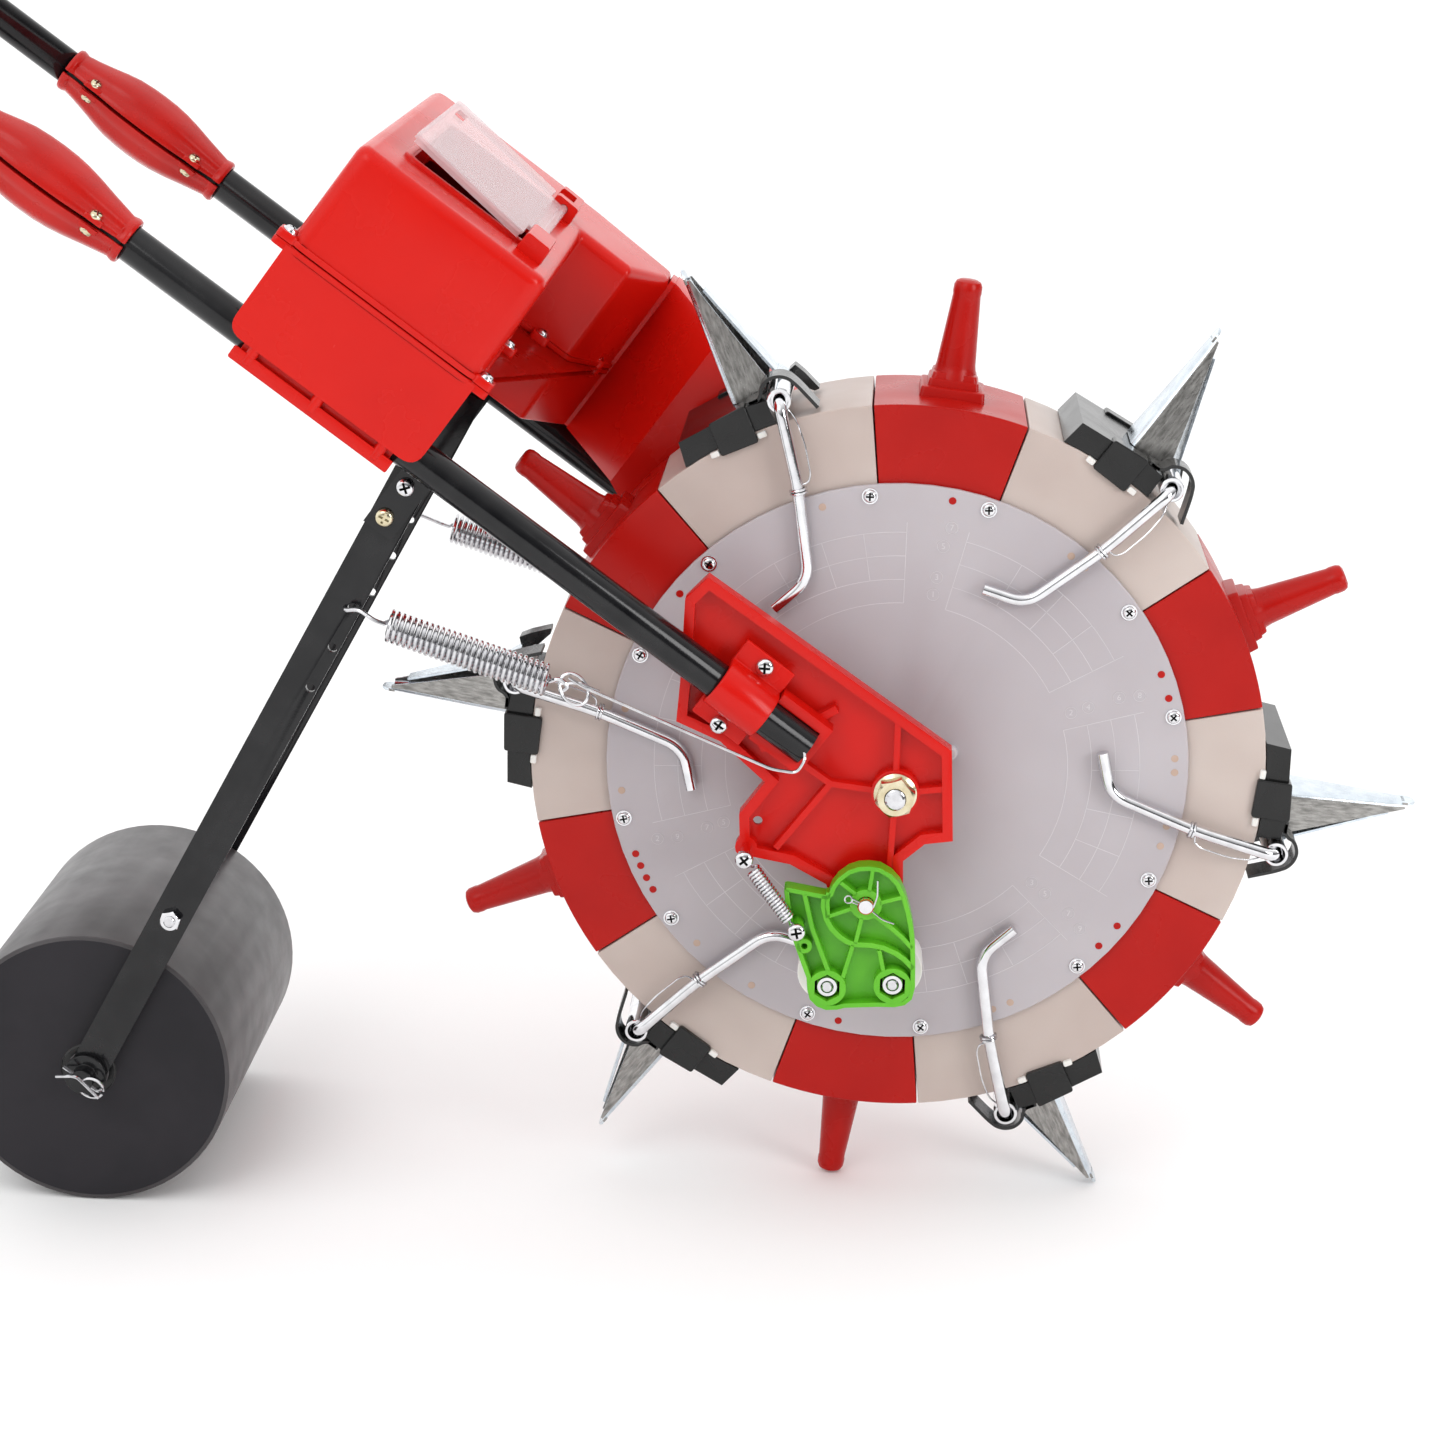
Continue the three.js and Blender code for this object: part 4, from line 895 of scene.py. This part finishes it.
# ears with screws through the seam
for j, (s, y, t, ax) in enumerate(((-393.5, -104, 48.6, (0, 0, 1)), (-281.0, -104, 48.6, (0, 0, 1)), (-281.2, -18, 48.6, (0, 0, 1)), (-270, 49.5, 48.6, (0, 0, 1)), (-239, 88, 48.6, (0, 0, 1)), (-393.5, 128, 48.6, (0, 0, 1)))):
    piece("seam_ear_%d" % j, merge("e", slab(5.2, 5.2, 40.4, 44.3, 2.4, 0.7), slab(5.2, 5.2, 44.6, 48.6, 2.4, 0.8)), "red", "frame", RAILS @ Matrix.Translation(Vector((s, y, 0)) * MM))
    fix("seam_screw_%d" % j, SCREW, "chrome", "frame", RAILS, (s, y, t), ax, 0.5 + j)

# lid hinge lugs
for j, (y0, y1) in enumerate(((-85, -55.3), (45.3, 78))):
    ym = (y0 + y1) / 2
    lug = prism(round_poly([(-306.5, 102.4), (-292.2, 102.4), (-292.8, 112.0), (-305.8, 112.4)], 1.6, 4), y0, y1)
    bore = lathe([(0, -60), (2.6, -60), (2.6, 60), (0, 60)], axis="Y", at=(-299.5, ym, 107.5), n=24)
    if j == 0:
        cutb = lathe([(0, -22), (2.6, -22), (2.6, 22), (0, 22)], axis="Y", at=(-299.5, -50, 107.5), n=24)
    else:
        cutb = lathe([(0, -16), (2.6, -16), (2.6, 16), (0, 16)], axis="Y", at=(-299.5, 46, 107.5), n=24)
        lug = boolean(lug, "DIFFERENCE", block(-310, -297, 53, 70, 103.6, 120))
    lug = boolean(lug, "DIFFERENCE", cutb)
    piece("lid_lug_%d" % j, lug, "red", "frame", RAILS, 0.6)

# lid: clear tray with a turned-down edge, standing slightly open
px, pz = st(-299.5, 107.5)
LIDM = MACHINE @ Matrix.Translation(Vector((px, 0, pz)) * MM) @ Matrix.Rotation(TILT + math.radians(6), 4, "Y")
outline = [(-75.5, -77), (-8.2, -77), (-8.2, -54.6), (-1, -54.6), (-1, 44.6), (-8.2, 44.6), (-8.2, 66), (-75.5, 66)]
orad = [5, 2, 1, 1, 1, 1, 2, 5]
lid = loft([[(x, y, z) for x, y in offset(round_poly(outline, orad, 4), d)] for z, d in ((-1.0, 0.5), (-0.7, 0.1), (0.8, 0.0), (1.2, 0.6))])
slot_cut = loft([[(x, y, z) for x, y in round_poly([(-71.5, 25), (-66, 25), (-66, 45), (-71.5, 45)], 1.5, 3)] for z in (-5, 5)])
lid = boolean(lid, "DIFFERENCE", slot_cut)
ledge = merge("le", loft([[(x, y, z) for x, y in round_poly([(-75.3, -76.6), (-73.8, -76.6), (-73.8, 65.6), (-75.3, 65.6)], 0.5, 2)] for z in (-1.4, -0.5)]),
              loft([[(x, y, z) for x, y in round_poly([(-74, -76.8), (-9, -76.8), (-9, -75.4), (-74, -75.4)], 0.5, 2)] for z in (-3.2, -0.5)]),
              loft([[(x, y, z) for x, y in round_poly([(-74, 64.2), (-9, 64.2), (-9, 65.8), (-74, 65.8)], 0.5, 2)] for z in (-3.2, -0.5)]),
              lathe([(0, -68), (2.2, -68), (2.2, 58), (0, 58)], axis="Y", n=20))
piece("lid_leaf", lid, "clear", "lid", LIDM, 0.25, segments=2, stands_for=("hopper_lid",))
piece("lid_ledge", ledge, "clear", "lid", LIDM)

# ---------------------------------------------------------------- press roller
UA = Vector((-409.1 + 240.5, 0, -168.6 - 146.2)).normalized()
for tag, Y, ax in (("near", lambda y: y, (0, -1, 0)), ("far", far, (0, 1, 0))):
    # screws that hold the arm to the hanger tab
    fix("arm_pivot_screw_" + tag, SCREW_BIG, "chrome", "roller_arm", MACHINE, (-240.5, Y(-84.9), 146.2), ax, 0.3)
    fix("arm_slot_screw_" + tag, SCREW_BIG, "brass", "frame", MACHINE, (-250.8, Y(-84.9), 131.0), ax, 1.1)
    fix("arm_nut_" + tag, hex_nut(9.6, 4.2, 2.7), "chrome", "roller_arm", MACHINE, (-362.1, Y(-81.4), -81.8), ax, 0.2)
    fix("arm_bolt_end_" + tag, bolt_end(2.9, 5.6), "steel", "roller_arm", MACHINE, (-362.1, Y(-81.4), -81.8), ax)
    c = Vector((-409.1, Y(-90.2), -168.6))
    s = -1 if tag == "near" else 1
    # ring cotter through the axle's end
    ring = sweep(circle3(c + Vector((5, 0, -4)), 6.2, (1, 0, -0.2), (0.2, 0.3 * s, 1), 0, 340, 30), 0.8, 8)
    pin = sweep(fillet([tuple(c + Vector((-9, s * 0.5, 7.5))), tuple(c + Vector((8.5, -s * 0.2, -6))), tuple(c + Vector((11, s * 1.5, -3)))], 2, 4), 0.9, 8)
    tail = sweep(fillet([tuple(c + Vector((-13, s * 0.8, 2))), tuple(c + Vector((-2, s * 2.6, 3.4))), tuple(c + Vector((9, s * 2.2, -8.5)))], 3, 4), 0.8, 8)
    piece("axle_cotter_" + tag, merge("ct", ring, pin, tail), "steel", "roller_arm")
    # hub ring moulded on the drum's end
    yr = Y(-75.4)
    piece("drum_boss_" + tag, lathe([(7, -1.2), (13.5, -1.2), (14.3, -0.4), (14.3, 0.4), (7, 0.4)] if s < 0 else [(7, 1.2), (13.5, 1.2), (14.3, 0.4), (14.3, -0.4), (7, -0.4)], axis="Y", at=(-409.1, yr, -168.6), n=40), "black", "press_roller")
    # end face of the drum, darker than its side
    d0, d1 = (-0.25, 0.05) if s < 0 else (-0.05, 0.25)
    piece("drum_end_" + tag, lathe([(14.5, d0), (70.6, d0), (70.9, 0.0), (70.6, d1), (14.5, d1)], axis="Y", at=(-409.1, yr, -168.6), n=96), "drumend", "press_roller")


# extension springs: hook in the arm, coil, ring, wire link to the bracket
def big_spring(tag, a, b, hole, y, armY, hookY):
    A, B = Vector((a[0], y, a[1])), Vector((b[0], y, b[1]))
    t = (B - A).normalized()
    r = 7.2
    H = Vector((hole[0], armY, hole[1]))
    lead_a = fillet([tuple(H + Vector((-4.0, 2.5 * (1 if armY < 0 else -1), 0.5))), tuple(H + Vector((-3.5, -5 * (1 if armY < 0 else -1), -0.5))), tuple(H + Vector((4, -7 * (1 if armY < 0 else -1), 1))), tuple(A - t * 7 + Vector((0, 0, 0))), tuple(A - t * 2.2)], 3, 5)
    lead_b = fillet([tuple(B + t * 1.5), tuple(B + t * 6 + Vector((0, 0, 3.0))), tuple(B + t * 11 + Vector((0, 0, 0.5))), tuple(B + t * 7 + Vector((0, 0, -3.5)))], 2.5, 4)
    me = helix(A, B, r, 1.12, 29, lead_a, lead_b, 20, 8)
    o = piece("extension_spring_" + tag, me, "steel", None, MACHINE, stands_for=("spring_near" if tag == "near" else "spring_far",))
    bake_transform(o)
    c = B + t * 13.5
    ring = sweep(circle3(c, 7.4, t, (0, 0.25, 1), 0, 372, 44), 0.85, 8)
    piece("spring_ring_" + tag, ring, "steel", "frame")
    e = c + t * 5
    link_pts = [tuple(c + Vector((-2.5, 0, 6))), tuple(c + Vector((4.5, 0, 1.5))), (-60.5, hookY, 17.2), (-48.0, hookY, 15.6), (-44.0, hookY, 23.0), (-45.6, hookY + (5 if hookY < 0 else -5), 27)]
    hook2 = [tuple(c + Vector((1.0, 0, 7.2))), tuple(c + Vector((5.4, 0.6, 6.0))), tuple(c + Vector((11.5, 0, 2.6)))]
    w = merge("w", sweep(fillet(link_pts, 3.4, 6), 0.85, 8), sweep(fillet([tuple(c + Vector((-6.5, 0, 2.6))), tuple(c + Vector((2, 0, 3.5))), tuple(c + Vector((12.5, 0, -0.6)))], 3, 5), 0.8, 8))
    piece("spring_link_" + tag, w, "steel", "frame")


big_spring("near", (-249, 78.5), (-171, 53.5), (-267.7, 84.3), -89.5, -80, -104)
big_spring("far", (-246, 78), (-168, 53), (-267.7, 84.3), far(-89.5), far(-80), far(-104))

# ---------------------------------------------------------------- cam lever
P = (-12.4, -54.6)
CAM_LINE = [(-53.0, -47.6), (-51.2, -47.2), (-31.7, -50.4), (-30.8, -49.5), (-29.4, -45.4), (-26.4, -41.0), (-21.5, -36.9), (-16.5, -35.0), (-11.5, -34.5), (-5.9, -35.1), (-0.4, -38.2), (3.8, -42.7), (6.9, -49.2), (9.4, -57.2), (11.2, -65.1), (12.5, -74.5), (13.1, -86.7), (13.4, -97.5), (12.1, -103.7), (8.7, -106.9), (3.7, -108.2), (-5.2, -108.4), (-21.0, -109.6), (-24.8, -110.8), (-30.5, -111.2), (-35.0, -109.5), (-38.6, -106.0), (-40.0, -100.6), (-40.5, -94.5), (-44.3, -84.4), (-48.1, -73.8), (-51.5, -60.1)]
CAM = CAM_LINE


def rib(points, w, y0=-94.0, y1=-86.5):
    """an upright wall along a line of x, z points"""
    p = [Vector(q) for q in points]
    left, right = [], []
    for i, c in enumerate(p):
        t = (p[min(i + 1, len(p) - 1)] - p[max(i - 1, 0)]).normalized()
        nrm = Vector((-t.y, t.x)) * (w / 2)
        left.append(tuple(c + nrm))
        right.append(tuple(c - nrm))
    return prism(left + right[::-1], y0, y1)


def hexagon(c, af, turn=0.0):
    r = af / math.sqrt(3)
    return [(c[0] + r * math.cos(math.radians(60 * k + turn)), c[1] + r * math.sin(math.radians(60 * k + turn))) for k in range(6)]


def post(c, r, y0, y1, n=40):
    return lathe([(0, y0), (r, y0), (r, y1), (0, y1)], axis="Y", at=(c[0], 0, c[1]), n=n)


NUTS = ((-30.2, -99.4), (2.2, -97.0))
CAM_WALL = offset(CAM_LINE, 1.1)
plate = prism(CAM_LINE, -87.0, -84.0)
wall = rib(CAM_WALL + CAM_WALL[:1], 2.3)
hub_ring = boolean(post(P, 7.9, -94.0, -86.5), "DIFFERENCE", post(P, 4.4, -99, -80))
spiral = [(-33.0, -50.5), (-33.4, -56.3), (-31.7, -62.9), (-28.7, -68.2), (-24.7, -72.1), (-20.9, -74.6), (-17.1, -75.8), (-9.5, -75.8), (-3.1, -76.9), (3.3, -79.6), (7.8, -82.8), (12.2, -87.4)]
parts = [wall, hub_ring, rib(spiral, 2.6),
         rib([(-31.0, -49.0), (-31.6, -54.0), (-31.0, -62.4)], 2.4),
         rib([(-25.2, -43.6), (-17.2, -49.6)], 1.9), rib([(-9.6, -36.8), (-11.0, -47.6)], 1.9), rib([(5.4, -50.0), (-5.6, -53.4)], 1.9),
         rib([(-31.2, -61.8), (-19.4, -57.0)], 1.9), rib([(-14.2, -61.6), (-16.9, -75.3)], 2.0), rib([(-18.0, -75.9), (-22.6, -93.6)], 2.0),
         rib([(-7.6, -60.2), (0.9, -66.6), (6.0, -71.0), (11.2, -76.6)], 2.2), rib([(-42.8, -50.4), (-38.6, -68.0), (-29.6, -91.2)], 2.2), rib([(-5.0, -78.4), (-2.6, -89.0)], 2.0)]
lever = merge("cam_parts", *parts)
lever_o = piece("cam_lever_ribs", lever, "green", "cam", MACHINE, 0.35, segments=2, stands_for=("cam_lever",))
for c in (P,):
    plate = boolean(plate, "DIFFERENCE", post(c, 4.4, -99, -80))
for c in NUTS:
    plate = boolean(plate, "DIFFERENCE", post(c, 3.05, -99, -80))
piece("cam_lever_plate", plate, "green", "cam", MACHINE, 0.35, segments=2)
for j, c in enumerate(NUTS):
    boss = boolean(post(c, 9.4, -94.2, -86.5), "DIFFERENCE", prism(hexagon(c, 12.4, 30), -99, -87.6))
    boss = boolean(boss, "DIFFERENCE", post(c, 3.05, -99, -80))
    piece("cam_nut_boss_%d" % j, boss, "green", "cam", MACHINE, 0.35, segments=2)
    # painted shade: dark disc on the floor of the hex pocket, behind the nut
    piece("cam_nut_pocket_%d" % j, boolean(post(c, 6.9, -87.9, -87.5), "DIFFERENCE", post(c, 3.05, -99, -80)), "bore", "cam", MACHINE)
ringh = boolean(post((-42.1, -77.7), 3.8, -94.0, -86.5), "DIFFERENCE", post((-42.1, -77.7), 1.6, -99, -80))
piece("cam_hole_ring", ringh, "green", "cam", MACHINE, 0.3, segments=2)
piece("cam_screw_post", post((-46.0, -67.6), 3.6, -98.0, -86.5), "green", "cam", MACHINE, 0.3, segments=2)

# ---------------------------------------------------------------- cam hardware
piece("cam_pin", lathe([(0, 0), (4.0, 0), (4.0, 10.6), (3.4, 11.6), (0, 11.6)], axis="-Y", at=(P[0], -86, P[1]), n=28), "chrome", "frame")
cot = merge("c", sweep(fillet([(P[0] - 7.4, -96.4, P[1] + 2.4), (P[0] + 2, -96.4, P[1] - 1.2), (P[0] + 8.5, -96.6, P[1] - 6.5), (P[0] + 14.2, -96.9, P[1] - 8.2)], 2, 4), 0.5, 8),
            sweep(fillet([(P[0] - 7.4, -96.9, P[1] + 4.4), (P[0] + 3.5, -96.9, P[1] - 1), (P[0] + 5.6, -97.2, P[1] + 6), (P[0] + 5.4, -97.6, P[1] + 14.2)], 2, 4), 0.5, 8),
            sweep(circle3((P[0] - 8.6, -96.6, P[1] + 3.6), 1.9, (1, 0, 0), (0, 0, 1), 0, 360, 20), 0.5, 8))
piece("cam_cotter", cot, "steel", "frame")
NUT_M6 = hex_nut(10, 4.6, 3.3)
BOLT6 = bolt_end(2.75, 5.6)
NUT_M6.materials.append(M["chrome"])
BOLT6.materials.append(M["steel"])
for j, c in enumerate(NUTS):
    fix("cam_nut_%d" % j, NUT_M6, "chrome", "cam", MACHINE, (c[0], -88.0, c[1]), (0, -1, 0), 0.5236)
    fix("cam_bolt_%d" % j, BOLT6, "steel", "cam", MACHINE, (c[0], -88.2, c[1]), (0, -1, 0))
fix("cam_spring_screw_top", SCREW_BIG, "chrome", "frame", MACHINE, (-72.7, -100.6, -31.0), (0, -1, 0), 0.7)
fix("cam_spring_screw_low", SCREW_BIG, "chrome", "cam", MACHINE, (-46.0, -100.8, -67.6), (0, -1, 0), 0.2)
a, b = Vector((-72.7, -98.8, -31)), Vector((-46, -98.8, -67.6))
t = (b - a).normalized()
la = [a + Vector(q) for q in ((-3.6, 0, 0.6), (-2.2, 0, 3.2), (1.6, 0, 3.4))] + [a + t * 5]
lb = [b - t * 5] + [b + Vector(q) for q in ((3.5, 0, 1.2), (2.4, 0, -2.6), (-2.2, 0, -3.2))]
o = piece("cam_return_spring", helix(a + t * 7, b - t * 7, 3.5, 0.62, 17, la, lb, 16, 7), "steel", None, MACHINE, stands_for=("cam_spring",))
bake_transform(o)

# ---------------------------------------------------------------- stage
floor = bpy.data.meshes.new("floor")
floor.from_pydata([(-30, -12, 0), (30, -12, 0), (30, 40, 0), (-30, 40, 0)], [], [(0, 1, 2, 3)])
floor_o = link(bpy.data.objects.new("floor", floor))
floor_o.location.z = -0.0006
fm, fnt, fp = nodes_of("pale_floor")
ftc = fnt.nodes.new("ShaderNodeTexCoord")
fsep = fnt.nodes.new("ShaderNodeSeparateXYZ")
fnt.links.new(ftc.outputs["Object"], fsep.inputs["Vector"])
fp.inputs["Base Color"].default_value = (0.93, 0.93, 0.93, 1)
fp.inputs["Roughness"].default_value = 0.9
fp.inputs["Specular IOR Level"].default_value = 0.1
floor.materials.append(fm)

world = bpy.data.worlds.new("studio")
bpy.context.scene.world = world
world.use_nodes = True
wn = world.node_tree
bg = wn.nodes["Background"]
tc = wn.nodes.new("ShaderNodeTexCoord")
sep = wn.nodes.new("ShaderNodeSeparateXYZ")
wn.links.new(tc.outputs["Generated"], sep.inputs["Vector"])
ramp = wn.nodes.new("ShaderNodeValToRGB")
ramp.color_ramp.elements[0].position = 0.13
ramp.color_ramp.elements[0].color = (0.045, 0.045, 0.047, 1)
ramp.color_ramp.elements[1].position = 0.66
ramp.color_ramp.elements[1].color = (1.0, 1.0, 1.0, 1)
mx = wn.nodes.new("ShaderNodeMath")
mx.operation = "MULTIPLY_ADD"
wn.links.new(sep.outputs["Y"], mx.inputs[0])
mx.inputs[1].default_value = 0.28
add2 = wn.nodes.new("ShaderNodeMath")
add2.operation = "MULTIPLY_ADD"
wn.links.new(sep.outputs["Z"], add2.inputs[0])
add2.inputs[1].default_value = 0.55
add2.inputs[2].default_value = 0.42
wn.links.new(add2.outputs[0], mx.inputs[2])
mx3 = wn.nodes.new("ShaderNodeMath")
mx3.operation = "MULTIPLY_ADD"
wn.links.new(sep.outputs["X"], mx3.inputs[0])
mx3.inputs[1].default_value = -0.35
wn.links.new(mx.outputs[0], mx3.inputs[2])
wn.links.new(mx3.outputs[0], ramp.inputs["Fac"])
wn.links.new(ramp.outputs["Color"], bg.inputs["Color"])
bg.inputs["Strength"].default_value = 1.32


def area(name, loc, target, size, energy):
    l = bpy.data.lights.new(name, "AREA")
    l.shape = "RECTANGLE"
    l.size, l.size_y = size
    l.energy = energy
    o = link(bpy.data.objects.new(name, l))
    o.location = loc
    o.rotation_euler = (Vector(target) - Vector(loc)).to_track_quat("-Z", "Y").to_euler()
    return o


area("key", (-0.8, -2.3, 2.2), (0.1, 0, 0.25), (1.4, 1.4), 12)
area("fill", (2.2, -1.5, 1.1), (0.1, 0, 0.3), (1.0, 1.0), 22)

# camera
cam = bpy.data.cameras.new("camera")
cam.lens = 79.36
cam.sensor_width = 36
cam.clip_end = 100
co = link(bpy.data.objects.new("camera", cam))
R = Vector((0.99805, 0.05884, 0.02084))
U = Vector((-0.0373, 0.29456, 0.9549))
F = Vector((-0.05005, 0.95382, -0.29618))
R = F.cross(U).normalized()
U = R.cross(F).normalized()
F = F.normalized()
m = Matrix(((R.x, U.x, -F.x, 0), (R.y, U.y, -F.y, 0), (R.z, U.z, -F.z, 0), (0, 0, 0, 1)))
m.translation = O + Vector((-7.7, -1569.1, 494.8)) * MM
co.matrix_world = m
bpy.context.scene.camera = co
bpy.context.scene.view_settings.view_transform = "Standard"
